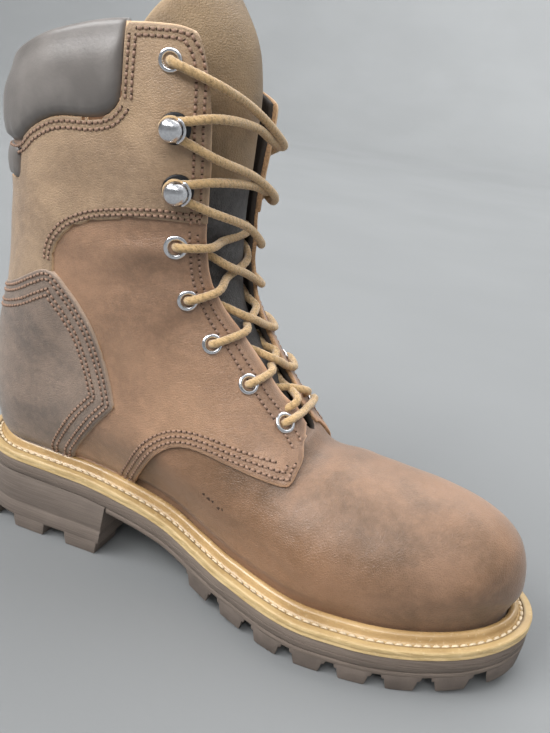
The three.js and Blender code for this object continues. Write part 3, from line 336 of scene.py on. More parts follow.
front_rows = [(a * SOLE_LENGTH, FORE_SEAT + r * TOE_BOX_HEIGHT) for a, r in VAMP_LINE]
FRONT = Line(front_rows + side_points(SHIN_LINE).tolist())
THROAT = side_points(THROAT_LINE)


def distance_to(points, line):
    best = np.full(len(points), 1e9)
    for a, b in zip(line[:-1], line[1:]):
        run = b - a
        t = clamp(((points - a) @ run) / max(run @ run, 1e-9))
        best = np.minimum(best, np.linalg.norm(points - a - t[:, None] * run, axis=1))
    return best


FRONT_COARSE = FRONT.at(np.linspace(0, 1, 181))


def form_half(side, x, z):
    x, z = np.atleast_1d(x).astype(float), np.atleast_1d(z).astype(float)
    above = z - seat_height(np.minimum(x, TOE_TIP))
    back = back_line(z)
    plan_x = mix(SEAT_INSET, TOE_TIP, clamp((x - back) / (TOE_TIP - back)))
    to_tip = TOE_TIP - plan_x
    taper = np.where(to_tip < TOE_ROUNDING, closing(to_tip + 0.5, TOE_ROUNDING - SEAT_INSET)
                     / closing(to_tip + 0.5, RIDGE_ROUNDING), 1)
    swollen = swell[side](plan_x / SOLE_LENGTH) * BALL_WIDTH * smooth((above - BEAD_RISE) / (42 - BEAD_RISE))
    tuck = BEAD_TUCK * smooth((above - BEAD_RISE) / 7)
    foot = (plan[side](plan_x / SOLE_LENGTH) * BALL_WIDTH - SEAT_INSET + tuck + swollen) * taper
    leg = width_share(z / SHAFT_HEIGHT) * SHAFT_WIDTH / 2
    up_leg = smooth((z - 80) / 55)
    ridge = distance_to(np.stack([x, z], 1), FRONT_COARSE)
    back_rounding = mix(HEEL_ROUNDING - SEAT_INSET, SHAFT_ROUNDING, smooth(above / 110))
    closed = (mix(foot, leg, up_leg) * closing(ridge, RIDGE_ROUNDING, mix(2, 2.45, up_leg))
              * closing(x - back, back_rounding, mix(2, 2.2, up_leg)))
    flare = FACING_FLARE * smooth((z - VAMP_TOP - 0.5 * SHAFT_HEIGHT) / 45) * (1 - clamp(ridge / 45)) ** 2
    seated = outline_half(side, np.minimum(x, TOE_TIP), SEAT_INSET)
    free = smooth((above - BEAD_RISE) / 5)
    return np.maximum(mix(seated, closed + flare * np.sign(closed), free), 0)


def form_point(side, x, z):
    x, z = np.atleast_1d(x).astype(float), np.atleast_1d(z).astype(float)
    return np.stack([x, side * form_half(side, x, z), z], 1)


def form_normal(side, x, z):
    x, z = np.atleast_1d(x).astype(float), np.atleast_1d(z).astype(float)
    step = 0.6
    dx = (form_half(side, x + step, z) - form_half(side, x - step, z)) / (2 * step)
    dz = (form_half(side, x, z + step) - form_half(side, x, z - step)) / (2 * step)
    n = np.stack([-dx, np.full(len(x), float(side)), -dz], 1)
    return n / np.linalg.norm(n, axis=1, keepdims=True)


THROAT_START = THROAT[0]
THROAT_SEAT_X = THROAT_START[0] - 10
TOE_CORNER = 0.235
ANKLE = 100.0
BEAD_ROW = 0.13
shares = np.linspace(0, 1, 2401)
THROAT_SHARE = shares[np.argmin(np.linalg.norm(FRONT.at(shares) - THROAT_START, axis=1))]
THROAT_ROOT = FRONT.at(THROAT_SHARE)


def collar_height(side, x):
    return VAMP_TOP + collar_rise[side](np.asarray(x) / SOLE_LENGTH) * SHAFT_HEIGHT


def throat_top(side):
    line = spline_at(THROAT, np.linspace(0, 1, 401))
    over = np.nonzero(line[:, 1] > collar_height(side, line[:, 0]))[0]
    return over[0] / 400 if len(over) else 1.0


def blend(a, b, t):
    return a + (b - a) * np.asarray(t)[..., None]


def seat_point(x):
    return np.stack([x, seat_height(x)], -1)


def hind_share(c, r):
    turn = math.pi * 0.84
    return mix(1 - np.cos(np.pi * c / 2), (1 - np.cos(turn * c)) / (1 - math.cos(turn)),
               clamp((r - BEAD_ROW) / (1 - BEAD_ROW)))


def over_bead(point, r):
    low = r <= BEAD_ROW
    x = np.clip(point[:, 0], SEAT_INSET, TOE_TIP)
    z = seat_height(x) + BEAD_RISE * r / BEAD_ROW
    return np.where(low[:, None], np.stack([x, z], 1), point)


def vamp_point(c, r):
    a = np.sin(np.pi * c / 2)
    left = blend(seat_point(np.full_like(r, THROAT_SEAT_X)), np.broadcast_to(THROAT_ROOT, r.shape + (2,)), r)
    right = FRONT.at(TOE_CORNER * r)
    bottom = seat_point(mix(THROAT_SEAT_X, TOE_TIP, a))
    top = FRONT.at(mix(THROAT_SHARE, TOE_CORNER, a))
    tip = np.broadcast_to(seat_point(np.array(TOE_TIP)), r.shape + (2,))
    corners = blend(left, blend(tip, np.broadcast_to(FRONT.at(TOE_CORNER), r.shape + (2,)), r), a)
    return over_bead(blend(left, right, a) + blend(bottom, top, r) - corners, r)


def hind_point(c, r):
    share = hind_share(c, r)
    back_z = mix(seat_height(SEAT_INSET), ANKLE, r)
    back = np.stack([back_line(back_z), back_z], -1)
    ankle = np.array([float(back_line(ANKLE)), ANKLE])
    heel = np.array([SEAT_INSET, float(seat_height(SEAT_INSET))])
    corner = blend(np.broadcast_to(heel, r.shape + (2,)), np.broadcast_to(ankle, r.shape + (2,)), r)
    bottom = seat_point(mix(SEAT_INSET, THROAT_SEAT_X, share))
    top = blend(np.broadcast_to(ankle, r.shape + (2,)), np.broadcast_to(THROAT_ROOT, r.shape + (2,)), share)
    return over_bead(blend(bottom, top, r) + (back - corner) * (1 - share)[:, None], r)


def leg_point(side, c, r):
    share = hind_share(c, np.ones_like(r))
    front = np.where((r == 0)[:, None], THROAT_ROOT, spline_at(THROAT, throat_top(side) * r))
    back_z = mix(ANKLE, float(collar_height(side, back_line(ANKLE))), r)
    back = np.stack([back_line(back_z), back_z], -1)
    point = blend(back, front, share)
    straight = mix(back_z, front[:, 1], share)
    followed = mix(mix(ANKLE, THROAT_ROOT[1], share), collar_height(side, point[:, 0]), r)
    point[:, 1] = mix(straight, followed, r ** 2)
    return point


# Meshes in numpy
def grid_faces(rows, columns, flip=False, start=0):
    i, j = np.meshgrid(np.arange(rows - 1), np.arange(columns - 1), indexing="ij")
    a = (i * columns + j).ravel() + start
    quads = np.stack([a, a + 1, a + columns + 1, a + columns], 1)
    return quads[:, ::-1] if flip else quads


def merged(points, faces):
    """Points that meet become one; triangles and quads that collapse are dropped."""
    _, first, back = np.unique(np.round(points, 3), axis=0, return_index=True, return_inverse=True)
    faces = back.reshape(-1)[faces]
    tris = np.concatenate([faces[:, [0, 1, 2]], faces[:, [0, 2, 3]]]) if faces.shape[1] == 4 else faces
    good = (tris[:, 0] != tris[:, 1]) & (tris[:, 1] != tris[:, 2]) & (tris[:, 2] != tris[:, 0])
    return first, tris[good]


def vertex_normals(points, tris):
    face = np.cross(points[tris[:, 1]] - points[tris[:, 0]], points[tris[:, 2]] - points[tris[:, 0]])
    total = np.zeros_like(points)
    for k in range(3):
        np.add.at(total, tris[:, k], face)
    total[np.abs(points[:, 1]) < 1e-6, 1] = 0
    return total / np.maximum(np.linalg.norm(total, axis=1, keepdims=True), 1e-9)


def fold_depth(xz):
    total = np.zeros(len(xz))
    for along, rise, length, width, depth, tilt in FOLDS:
        centre = side_points([(along, rise)])[0]
        a = math.radians(tilt)
        d = xz - centre
        u, v = d @ (math.cos(a), math.sin(a)), d @ (-math.sin(a), math.cos(a))
        v = v + 0.004 * u ** 2
        total -= depth * np.exp(-(u / (length / 2)) ** 2 - (v / width) ** 2)
    return total


def make_skin():
    hind, vamp, leg_rows = np.linspace(0, 1, 56), np.linspace(0, 1, 46), np.linspace(0, 1, 62)
    foot_rows = np.concatenate([[0, 0.065], np.linspace(BEAD_ROW, 1, 32)])
    points, faces, count = [], [], 0
    for side in SIDES:
        flip = side == MEDIAL
        patches = (("hind", hind, foot_rows), ("vamp", vamp, foot_rows), ("leg", hind, leg_rows))
        for name, columns, rows in patches:
            r, c = [t.ravel() for t in np.meshgrid(rows, columns, indexing="ij")]
            if name == "hind":
                xz, centre = hind_point(c, r), (c == 0) | ((r == 1) & (c == 1))
            elif name == "vamp":
                xz, centre = vamp_point(c, r), (c == 1) | (r == 1)
            else:
                low = hind_point(c, np.ones_like(r))
                xz = np.where((r == 0)[:, None], low, leg_point(side, c, r))
                centre = (c == 0) | ((r == 0) & (c == 1))
            p = form_point(side, xz[:, 0], xz[:, 1])
            p[centre, 1] = 0
            points.append(p)
            faces.append(grid_faces(len(rows), len(columns), flip, count))
            count += len(p)
    points, faces = np.concatenate(points), np.concatenate(faces)
    first, tris = merged(points, faces)
    points = points[first]
    normals = vertex_normals(points, tris)
    points = points + normals * fold_depth(points[:, [0, 2]])[:, None]
    return {"p": points, "n": normals, "tris": tris}


def split(mesh, value):
    """Cuts triangles where a vertex value changes sign. Every array of the mesh is carried along."""
    value = np.where(np.abs(value) < 0.12, 0.0, value)
    tris = mesh["tris"]
    s = np.sign(value[tris])
    crossing = (s.min(1) < 0) & (s.max(1) > 0)
    keep = tris[~crossing].tolist()
    names = [k for k in mesh if k != "tris"]
    new = {k: [] for k in names}
    made, count = {}, len(value)

    def cut(a, b):
        key = (a, b) if a < b else (b, a)
        if key not in made:
            t = value[key[0]] / (value[key[0]] - value[key[1]])
            for k in names:
                new[k].append(mesh[k][key[0]] * (1 - t) + mesh[k][key[1]] * t)
            made[key] = count + len(made)
        return made[key]

    for tri in tris[crossing].tolist():
        signs = [np.sign(value[v]) for v in tri]
        if 0 in signs:
            k = signs.index(0)
            a, b, c = tri[k], tri[(k + 1) % 3], tri[(k + 2) % 3]
            m = cut(b, c)
            keep += [[a, b, m], [a, m, c]]
        else:
            k = next(i for i in range(3) if signs[i] != signs[(i + 1) % 3] and signs[i] != signs[(i + 2) % 3])
            a, b, c = tri[k], tri[(k + 1) % 3], tri[(k + 2) % 3]
            m, n = cut(a, b), cut(a, c)
            keep += [[a, m, n], [m, b, c], [m, c, n]]
    out = {k: (np.concatenate([mesh[k], np.array(new[k])]) if new[k] else mesh[k]) for k in names}
    out["tris"] = np.array(keep)
    return out, np.concatenate([value, np.zeros(len(made))])


def only(mesh, inside):
    tris = mesh["tris"][inside]
    used, back = np.unique(tris, return_inverse=True)
    out = {k: mesh[k][used] for k in mesh if k != "tris"}
    out["tris"] = back.reshape(tris.shape)
    return out


def in_polygon(points, polygon):
    x, y = points[:, 0], points[:, 1]
    inside = np.zeros(len(points), bool)
    for (x0, y0), (x1, y1) in zip(polygon, np.roll(polygon, -1, axis=0)):
        hit = (y0 > y) != (y1 > y)
        inside ^= hit & (x < (x1 - x0) * (y - y0) / ((y1 - y0) or 1e-9) + x0)
    return inside


def signed(points, line, polygon):
    return np.where(in_polygon(points, polygon), 1, -1) * distance_to(points, line)


def corner(along, rise):
    return side_points([(along, rise)])


counter_edge = spline_at(side_points(COUNTER_LINE), np.linspace(0, 1, 90))
quarter_edge = spline_at(side_points(QUARTER_LINE), np.linspace(0, 1, 80))
seam_edge = spline_at(side_points(SEAM_LINE), np.linspace(0, 1, 50))
pad_edge = spline_at(side_points(PAD_LINE), np.linspace(0, 1, 50))
roll_edge = side_points(ROLL_LINE)
PAD_FRONT = pad_edge[-1][0]
roll_end = ROLL_LINE[-1][0] * SOLE_LENGTH
throat_edge = spline_at(THROAT, np.linspace(0, 1, 120))
counter_area = np.concatenate([counter_edge, corner(-0.1, -0.3), corner(-0.1, 0.192)])
quarter_area = np.concatenate([quarter_edge, corner(0.66, 0.10), corner(0.66, 0.5), corner(0.5, 0.7),
                               corner(-0.1, 0.7), corner(-0.1, -0.3), corner(0.33, -0.3)])
pad_tail = pad_edge[::-1][pad_edge[::-1][:, 0] > roll_end + 2]
shaft_top = np.concatenate([[(PAD_FRONT, VAMP_TOP + 1.1 * SHAFT_HEIGHT)], pad_tail, roll_edge[::-1]])
shaft_area = np.concatenate([seam_edge, corner(0.7, 0.446), corner(0.7, 1.1), shaft_top,
                             corner(-0.1, 0.477), corner(-0.1, 0.1), corner(0.15, 0.1)])
shaft_edge = np.concatenate([seam_edge, corner(0.7, 0.446)])


def edge_profile(d, thickness, sink=0.5, rounding=1.2):
    return thickness * (sink + (1 - sink) * np.sqrt(1 - (1 - clamp(d / rounding)) ** 2))


def free_edges(tris):
    edges = np.concatenate([tris[:, [0, 1]], tris[:, [1, 2]], tris[:, [2, 0]]])
    keys = {}
    for a, b in edges.tolist():
        if (b, a) in keys:
            del keys[(b, a)]
        else:
            keys[(a, b)] = True
    return np.array(list(keys))


def closed_sheet(mesh, outer, inner):
    """A sheet between two offsets along the normals, closed along its free edges."""
    p, n, tris = mesh["p"], mesh["n"], mesh["tris"]
    count = len(p)
    points = np.concatenate([p + n * np.reshape(outer, (-1, 1)), p + n * np.reshape(inner, (-1, 1))])
    rim = free_edges(tris)
    a, b = rim[:, 0], rim[:, 1]
    side = np.concatenate([np.stack([b, a, a + count], 1), np.stack([b, a + count, b + count], 1)])
    faces = np.concatenate([tris, tris[:, ::-1] + count, side])
    zone = np.concatenate([np.zeros(len(tris)), np.ones(len(tris)), np.full(len(side), 2)]).astype(int)
    return points, faces, zone


def new_object(name, points, faces, materials, zone=None, fields=None, sharp=None):
    """A mesh object in the row's frame from millimetre points."""
    shift = np.array([ORIGIN_AHEAD, 0, 0])
    mesh = bpy.data.meshes.new(name)
    mesh.from_pydata(((np.asarray(points) - shift) * MM).tolist(), [], np.asarray(faces).tolist()
                     if isinstance(faces, np.ndarray) else faces)
    for material in materials:
        mesh.materials.append(material)
    if zone is not None:
        mesh.polygons.foreach_set("material_index", np.minimum(zone, len(materials) - 1).astype(np.int32))
    mesh.polygons.foreach_set("use_smooth", np.ones(len(mesh.polygons), bool))
    for key, values in (fields or {}).items():
        attribute = mesh.attributes.new(key, "FLOAT", "POINT")
        attribute.data.foreach_set("value", np.asarray(values, np.float32))
    mesh.validate()
    mesh.update()
    if sharp:
        mesh.set_sharp_from_angle(angle=math.radians(sharp))
    made = bpy.data.objects.new(name, mesh)
    bpy.context.scene.collection.objects.link(made)
    return made


def finish_piece(piece, nodes=()):
    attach(piece, "root")
    if nodes:
        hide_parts(*nodes)
    return piece


# Materials
class Shader:
    """A small helper that builds a node tree by name."""

    def __init__(self, name):
        self.material = bpy.data.materials.new(name)
        self.material.use_nodes = True
        self.tree = self.material.node_tree
        self.tree.nodes.clear()
        self.out = self.add("ShaderNodeOutputMaterial")
        self.bsdf = self.add("ShaderNodeBsdfPrincipled")
        self.join(self.bsdf.outputs[0], self.out.inputs[0])
        self.place = self.add("ShaderNodeTexCoord").outputs["Object"]

    def add(self, kind, **values):
        node = self.tree.nodes.new(kind)
        for key, value in values.items():
            setattr(node, key, value)
        return node

    def join(self, a, b):
        self.tree.links.new(a, b)

    def feed(self, socket, value):
        if isinstance(value, bpy.types.NodeSocket):
            self.join(value, socket)
        else:
            socket.default_value = value

    def math(self, operation, a, b=0.0, c=0.0):
        node = self.add("ShaderNodeMath", operation=operation)
        for socket, value in zip(node.inputs, (a, b, c)):
            self.feed(socket, value)
        return node.outputs[0]

    def ramp(self, value, low, high, to_low=0.0, to_high=1.0):
        node = self.add("ShaderNodeMapRange", interpolation_type="SMOOTHSTEP", clamp=True)
        for socket, v in zip(node.inputs, (value, low, high, to_low, to_high)):
            self.feed(socket, v)
        return node.outputs[0]

    def noise(self, scale, detail=4.0, rough=0.55, stretch=(1, 1, 1), distort=0.0):
        moved = self.add("ShaderNodeVectorMath", operation="MULTIPLY")
        self.join(self.place, moved.inputs[0])
        moved.inputs[1].default_value = stretch
        node = self.add("ShaderNodeTexNoise")
        self.join(moved.outputs[0], node.inputs["Vector"])
        settings = {"Scale": scale, "Detail": detail, "Roughness": rough, "Distortion": distort}
        for key, value in settings.items():
            node.inputs[key].default_value = value
        return node.outputs["Fac"]

    def cells(self, scale):
        node = self.add("ShaderNodeTexVoronoi", feature="DISTANCE_TO_EDGE")
        self.join(self.place, node.inputs["Vector"])
        node.inputs["Scale"].default_value = scale
        return node.outputs["Distance"]

    def near(self, value, middle):
        """How far a value is from a middle one."""
        return self.math("ABSOLUTE", self.math("SUBTRACT", value, middle))

    def field(self, name):
        return self.add("ShaderNodeAttribute", attribute_name=name).outputs["Fac"]

    def axis(self, name):
        node = self.add("ShaderNodeSeparateXYZ")
        self.join(self.place, node.inputs[0])
        return node.outputs[name]

    def blend(self, factor, a, b):
        node = self.add("ShaderNodeMix", data_type="RGBA")
        self.feed(node.inputs["Factor"], factor)
        self.feed(node.inputs[6], a)
        self.feed(node.inputs[7], b)
        return node.outputs[2]

    def bump(self, height, distance, strength=1.0, under=None):
        node = self.add("ShaderNodeBump")
        self.feed(node.inputs["Height"], height)
        node.inputs["Distance"].default_value = distance
        node.inputs["Strength"].default_value = strength
        if under is not None:
            self.join(under, node.inputs["Normal"])
        return node.outputs[0]

    def use(self, colour, roughness, normal=None, **values):
        self.feed(self.bsdf.inputs["Base Color"], colour)
        self.feed(self.bsdf.inputs["Roughness"], roughness)
        if normal is not None:
            self.join(normal, self.bsdf.inputs["Normal"])
        for key, value in values.items():
            self.feed(self.bsdf.inputs[key.replace("_", " ")], value)
        return self.material


def rgba(colour):
    return (*colour[:3], 1.0)


def shade(colour, factor):
    return (colour[0] * factor, colour[1] * factor, colour[2] * factor, 1.0)


def leather(name, base, warm, dark, roughness, scuff=0.3, mottle=0.5):
    """Oiled nubuck: cloudy pull-up tones, a fine grain, pale scratches and dark worn patches."""
    s = Shader(name)
    cloud = s.noise(22, 5, 0.6, distort=0.6)
    patch = s.noise(9, 3, 0.5)
    fine = s.noise(240, 6, 0.7)
    pores = s.noise(1500, 3, 0.6)
    cells = s.cells(820)
    colour = s.blend(s.ramp(cloud, 0.36, 0.68), rgba(dark), rgba(base))
    colour = s.blend(s.math("MULTIPLY", s.ramp(patch, 0.40, 0.72), mottle), colour, rgba(warm))
    colour = s.blend(s.ramp(fine, 0.38, 0.72, 0.0, 0.30), colour, shade(base, 1.45))
    colour = s.blend(s.ramp(pores, 0.30, 0.48, 0.26, 0.0), colour, shade(dark, 0.72))
    scratch = s.noise(52, 8, 0.75, stretch=(1, 1, 5.5), distort=1.2)
    lines = s.ramp(s.near(scratch, 0.5), 0.0, 0.014, scuff, 0.0)
    spots = s.ramp(s.noise(34, 2, 0.5), 0.55, 0.70)
    colour = s.blend(s.math("MULTIPLY", lines, spots), colour, shade(base, 1.7))
    height = s.math("ADD", s.math("MULTIPLY", s.ramp(cells, 0.0, 0.22), 0.55), s.math("MULTIPLY", fine, 0.75))
    normal = s.bump(s.noise(60, 3, 0.5), 0.0009, 0.35)
    normal = s.bump(height, 0.00028, 0.72, under=normal)
    edge = s.field("edge_mm")
    colour = s.blend(s.ramp(edge, 0.0, 0.9, 0.75, 0.0), colour, shade(warm, 1.75))
    # Painted shade: a dark line about 1.5 mm in from the cut edge, where a crease would shade the leather.
    # Then a slightly darker band along the stitch rows, about 4 mm in.
    colour = s.blend(s.ramp(s.near(edge, 1.5), 0.0, 0.8, 0.30, 0.0), colour, shade(dark, 0.6))
    colour = s.blend(s.ramp(s.near(edge, 4.2), 1.2, 2.8, 0.30, 0.0), colour, shade(dark, 0.9))
    rough = s.ramp(cloud, 0.3, 0.75, roughness - 0.12, roughness + 0.08)
    return s.use(colour, rough, normal, Specular_IOR_Level=0.5, Coat_Weight=0.16, Coat_Roughness=0.42,
                 Sheen_Weight=0.12, Sheen_Roughness=0.5)


def plain(name, base, roughness, grain_scale=500.0, grain=0.00012, metallic=0.0, vary=0.12, **values):
    s = Shader(name)
    cloud = s.noise(40, 4, 0.6)
    fine = s.noise(grain_scale, 5, 0.65)
    colour = s.blend(s.ramp(cloud, 0.3, 0.7), shade(base, 1 - vary), shade(base, 1 + vary))
    normal = s.bump(fine, grain, 1.0)
    return s.use(colour, s.ramp(cloud, 0.3, 0.7, roughness - 0.04, roughness + 0.06), normal,
                 Metallic=metallic, **values)


def cut_edge(base):
    s = Shader("cut_edge")
    fibre = s.noise(900, 4, 0.7)
    colour = s.blend(s.ramp(fibre, 0.35, 0.65), shade(base, 0.7), shade(base, 1.2))
    return s.use(colour, 0.85, s.bump(fibre, 0.0002, 1.0))


def band_rubber(name, base, line):
    """Buffed sole edge: fine lines along the sole, with dust in them."""
    s = Shader(name)
    brushed = s.noise(60, 6, 0.7, stretch=(0.6, 0.6, 34))
    wide = s.noise(26, 3, 0.5)
    colour = s.blend(s.ramp(brushed, 0.34, 0.66), shade(base, 1 - line), shade(base, 1 + line))
    colour = s.blend(s.ramp(wide, 0.45, 0.75, 0.0, 0.35), colour, shade(base, 1.5))
    normal = s.bump(brushed, 0.0003, 0.8)
    normal = s.bump(s.noise(900, 3, 0.6), 0.0001, 0.8, under=normal)
    return s.use(colour, 0.78, normal)


def welt_material():
    """Golden welt: a glossy bead, a waxed flat top, a stitch channel and a brushed outer edge."""
    s = Shader("welt_golden")
    part = s.field("part")
    grain = s.noise(70, 6, 0.7, stretch=(1, 1, 8))
    cloud = s.noise(34, 4, 0.6)
    flat = s.blend(s.ramp(cloud, 0.3, 0.7), (0.36, 0.235, 0.095, 1), (0.50, 0.35, 0.16, 1))
    rim = s.blend(s.ramp(grain, 0.3, 0.7), (0.40, 0.27, 0.11, 1), (0.66, 0.49, 0.25, 1))
    bead = s.blend(s.ramp(cloud, 0.3, 0.7), (0.33, 0.205, 0.085, 1), (0.50, 0.33, 0.15, 1))
    colour = s.blend(s.ramp(part, 0.15, 0.3), rim, flat)
    colour = s.blend(s.ramp(part, 0.52, 0.6), colour, bead)
    # Painted shade: near-black along the stitch channel's outer wall and floor, where the groove lies in
    # shade.
    channel_shade = s.ramp(s.near(part, 0.47), 0.0, 0.075, 0.75, 0.0)
    colour = s.blend(channel_shade, colour, (0.085, 0.05, 0.022, 1))
    dust = s.ramp(s.noise(420, 4, 0.7), 0.55, 0.72, 0.0, 0.35)
    colour = s.blend(dust, colour, (0.70, 0.58, 0.38, 1))
    rough = s.ramp(part, 0.50, 0.62, 0.55, 0.24)
    normal = s.bump(grain, 0.0003, 0.6)
    return s.use(colour, rough, normal, Coat_Weight=0.2, Coat_Roughness=0.25)


def lace_material():
    s = Shader("lace_tan")
    strand_shading = s.field("lobe")
    fuzz = s.noise(1400, 5, 0.75)
    # Painted shade: dark in the grooves between the twisted strands, light on their crowns.
    colour = s.blend(s.ramp(strand_shading, 0.02, 0.6), (0.30, 0.165, 0.060, 1), (0.58, 0.375, 0.170, 1))
    colour = s.blend(s.ramp(fuzz, 0.42, 0.72, 0.0, 0.6), colour, (0.82, 0.60, 0.33, 1))
    colour = s.blend(s.ramp(s.noise(500, 3, 0.6), 0.30, 0.50, 0.5, 0.0), colour, (0.20, 0.115, 0.045, 1))
    normal = s.bump(fuzz, 0.0007, 1.0)
    return s.use(colour, 0.85, normal, Sheen_Weight=0.5, Sheen_Roughness=0.4)


def tongue_material():
    """Tan leather above, dark slate cloth-like leather below, with a seam between them."""
    s = Shader("tongue_two_tone")
    z = s.axis("Z")
    cloud = s.noise(24, 5, 0.6)
    fine = s.noise(300, 5, 0.65)
    tan = s.blend(s.ramp(cloud, 0.3, 0.7), (0.165, 0.105, 0.052, 1), (0.285, 0.190, 0.100, 1))
    tan = s.blend(s.ramp(fine, 0.4, 0.7, 0.0, 0.3), tan, (0.36, 0.25, 0.14, 1))
    slate = s.blend(s.ramp(fine, 0.3, 0.7), (0.036, 0.034, 0.034, 1), (0.075, 0.071, 0.070, 1))
    border = s.math("ADD", z, s.math("MULTIPLY", s.axis("Y"), 0.12))
    colour = s.blend(s.ramp(border, 0.2060, 0.2070), slate, tan)
    edge = s.field("edge_mm")
    colour = s.blend(s.ramp(edge, 0.0, 1.3, 0.7, 0.0), colour, (0.40, 0.29, 0.17, 1))
    normal = s.bump(s.noise(60, 3, 0.5), 0.001, 0.4)
    normal = s.bump(s.math("ADD", fine, s.ramp(s.cells(800), 0.0, 0.25)), 0.0002, 0.8, under=normal)
    return s.use(colour, s.ramp(cloud, 0.3, 0.7, 0.5, 0.62), normal, Coat_Weight=0.05, Coat_Roughness=0.4)


def metal_material():
    s = Shader("metal_bright")
    scratch = s.noise(900, 4, 0.6)
    colour = s.blend(s.ramp(scratch, 0.3, 0.7), (0.62, 0.62, 0.64, 1), (0.80, 0.80, 0.82, 1))
    normal = s.bump(scratch, 0.00003, 0.6)
    return s.use(colour, s.ramp(scratch, 0.3, 0.7, 0.14, 0.26), normal, Metallic=1.0)


MATERIALS = {}


def materials():
    if MATERIALS:
        return MATERIALS
    look = bpy.context.scene.boot_look
    m = MATERIALS
    # The vamp and the quarters share the main brown: the vamp's copy is darkened and the quarters'
    # brightened, partly the leathers' own tones, partly painted shade on the vamp and painted light on the
    # quarters.
    m["vamp"] = leather("leather_vamp", shade(look.brown, 0.82), (0.31, 0.155, 0.072),
                        (0.095, 0.054, 0.028), 0.50, mottle=0.6)
    m["quarter"] = leather("leather_quarter", shade(look.brown, 1.35), (0.47, 0.280, 0.165),
                           (0.205, 0.118, 0.070), 0.44, mottle=0.7)
    m["shaft"] = leather("leather_shaft", shade(look.olive, 1.28), (0.46, 0.300, 0.165),
                         (0.225, 0.148, 0.092), 0.52, mottle=0.7)
    m["counter"] = leather("leather_counter", (0.270, 0.195, 0.147), (0.33, 0.240, 0.175),
                           (0.145, 0.110, 0.088), 0.55, scuff=0.7, mottle=0.7)
    m["pad"] = plain("pad_leather", (0.175, 0.158, 0.146), 0.42, 700, 0.00010, vary=0.18,
                     Coat_Weight=0.12, Coat_Roughness=0.35)
    m["lining"] = plain("lining_dark", (0.040, 0.031, 0.025), 0.9, 1200, 0.0003)
    m["edge"] = cut_edge((0.50, 0.30, 0.16))
    m["stitch"] = plain("stitch_pink_tan", (0.285, 0.175, 0.120), 0.6, 2500, 0.00008)
    m["stitch_pale"] = plain("stitch_pale", (0.62, 0.50, 0.34), 0.65, 2500, 0.00008)
    m["welt"] = welt_material()
    m["band"] = band_rubber("rubber_band", (0.150, 0.117, 0.094), 0.25)
    m["heel"] = band_rubber("rubber_heel", (0.150, 0.119, 0.098), 0.20)
    m["tread"] = plain("rubber_tread", (0.132, 0.104, 0.086), 0.8, 420, 0.0002, vary=0.25)
    m["insole"] = plain("insole_cloth", (0.055, 0.045, 0.038), 0.95, 1600, 0.0004)
    m["metal"] = metal_material()
    m["dark_metal"] = plain("metal_dark", (0.03, 0.03, 0.032), 0.35, metallic=0.8)
    # Dark marks: painted shade in the stitch holes, and the real dark specks on the vamp.
    m["prick"] = plain("prick_dark", (0.055, 0.030, 0.018), 0.9)
    m["lace"] = lace_material()
    m["tongue"] = tongue_material()
    return m


# Pieces
STATE = {}


def skin():
    if "skin" not in STATE:
        STATE["skin"] = make_skin()
    return STATE["skin"]


def xz(mesh):
    return mesh["p"][:, [0, 2]]


def cleaned(piece, edit=None):
    """Turns a mesh's faces outwards, after an edit of its own."""
    bm = bmesh.new()
    bm.from_mesh(piece.data)
    if edit:
        edit(bm)
    bmesh.ops.recalc_face_normals(bm, faces=bm.faces)
    return bm


def put_back(bm, piece, smooth=False):
    for face in bm.faces if smooth else ():
        face.smooth = True
    bm.to_mesh(piece.data)
    bm.free()


def clip(mesh, value):
    """The part of a mesh where a value of its points is above zero, cut along zero."""
    part, value = split(mesh, value)
    return only(part, value[part["tris"]].mean(1) > 0)


def panel_sheet(mesh, line, area, thickness, extra=None):
    """The part of the skin inside an outline, raised, with a rounded edge along the outline."""
    part = clip(mesh, signed(xz(mesh), line, area))
    free = np.minimum(distance_to(xz(part), line), distance_to(xz(part), throat_edge))
    if extra is not None:
        free = np.minimum(free, extra(part))
    for level in (0.45, 1.2):
        part["d"] = free
        part, _ = split(part, free - level)
        free = part.pop("d")
    return part, free, edge_profile(free, thickness)


def collar_distance(mesh):
    """Height between each point and the collar's edge on its side."""
    p = mesh["p"]
    top = np.where(p[:, 1] <= 0, collar_height(LATERAL, p[:, 0]), collar_height(MEDIAL, p[:, 0]))
    return np.abs(top - p[:, 2])


def build_upper():
    m = materials()
    mesh = skin()
    points, faces, zone = closed_sheet(mesh, 0.0, -UPPER_WALL)
    field = {"edge_mm": np.full(len(points), 9.0)}
    piece = new_object("upper_shell", points, faces, [m["vamp"], m["lining"], m["lining"]], zone, field)
    return finish_piece(piece, ["upper"])


def add_panel(name, part, free, outer, look, nodes, slot, inner=-PANEL_SINK):
    """Closes a raised sheet to a piece of one leather with a cut edge."""
    m = materials()
    points, faces, zone = closed_sheet(part, outer, inner)
    piece = new_object(name, points, faces, [m[look], m["edge"]], np.where(zone == 2, 1, 0),
                       {"edge_mm": np.concatenate([free, free])})
    return finish_piece(piece, nodes)


def above_welt():
    """The skin above the welt's bead."""
    mesh = skin()
    p = mesh["p"]
    return clip(mesh, p[:, 2] - seat_height(np.clip(p[:, 0], 0, SOLE_LENGTH)) - BEAD_RISE + 1.5)


def build_counter():
    sheet = panel_sheet(above_welt(), counter_edge, counter_area, COUNTER)
    add_panel("heel_counter_panel", *sheet, "counter", ["heel_counter"], "leather_dark")


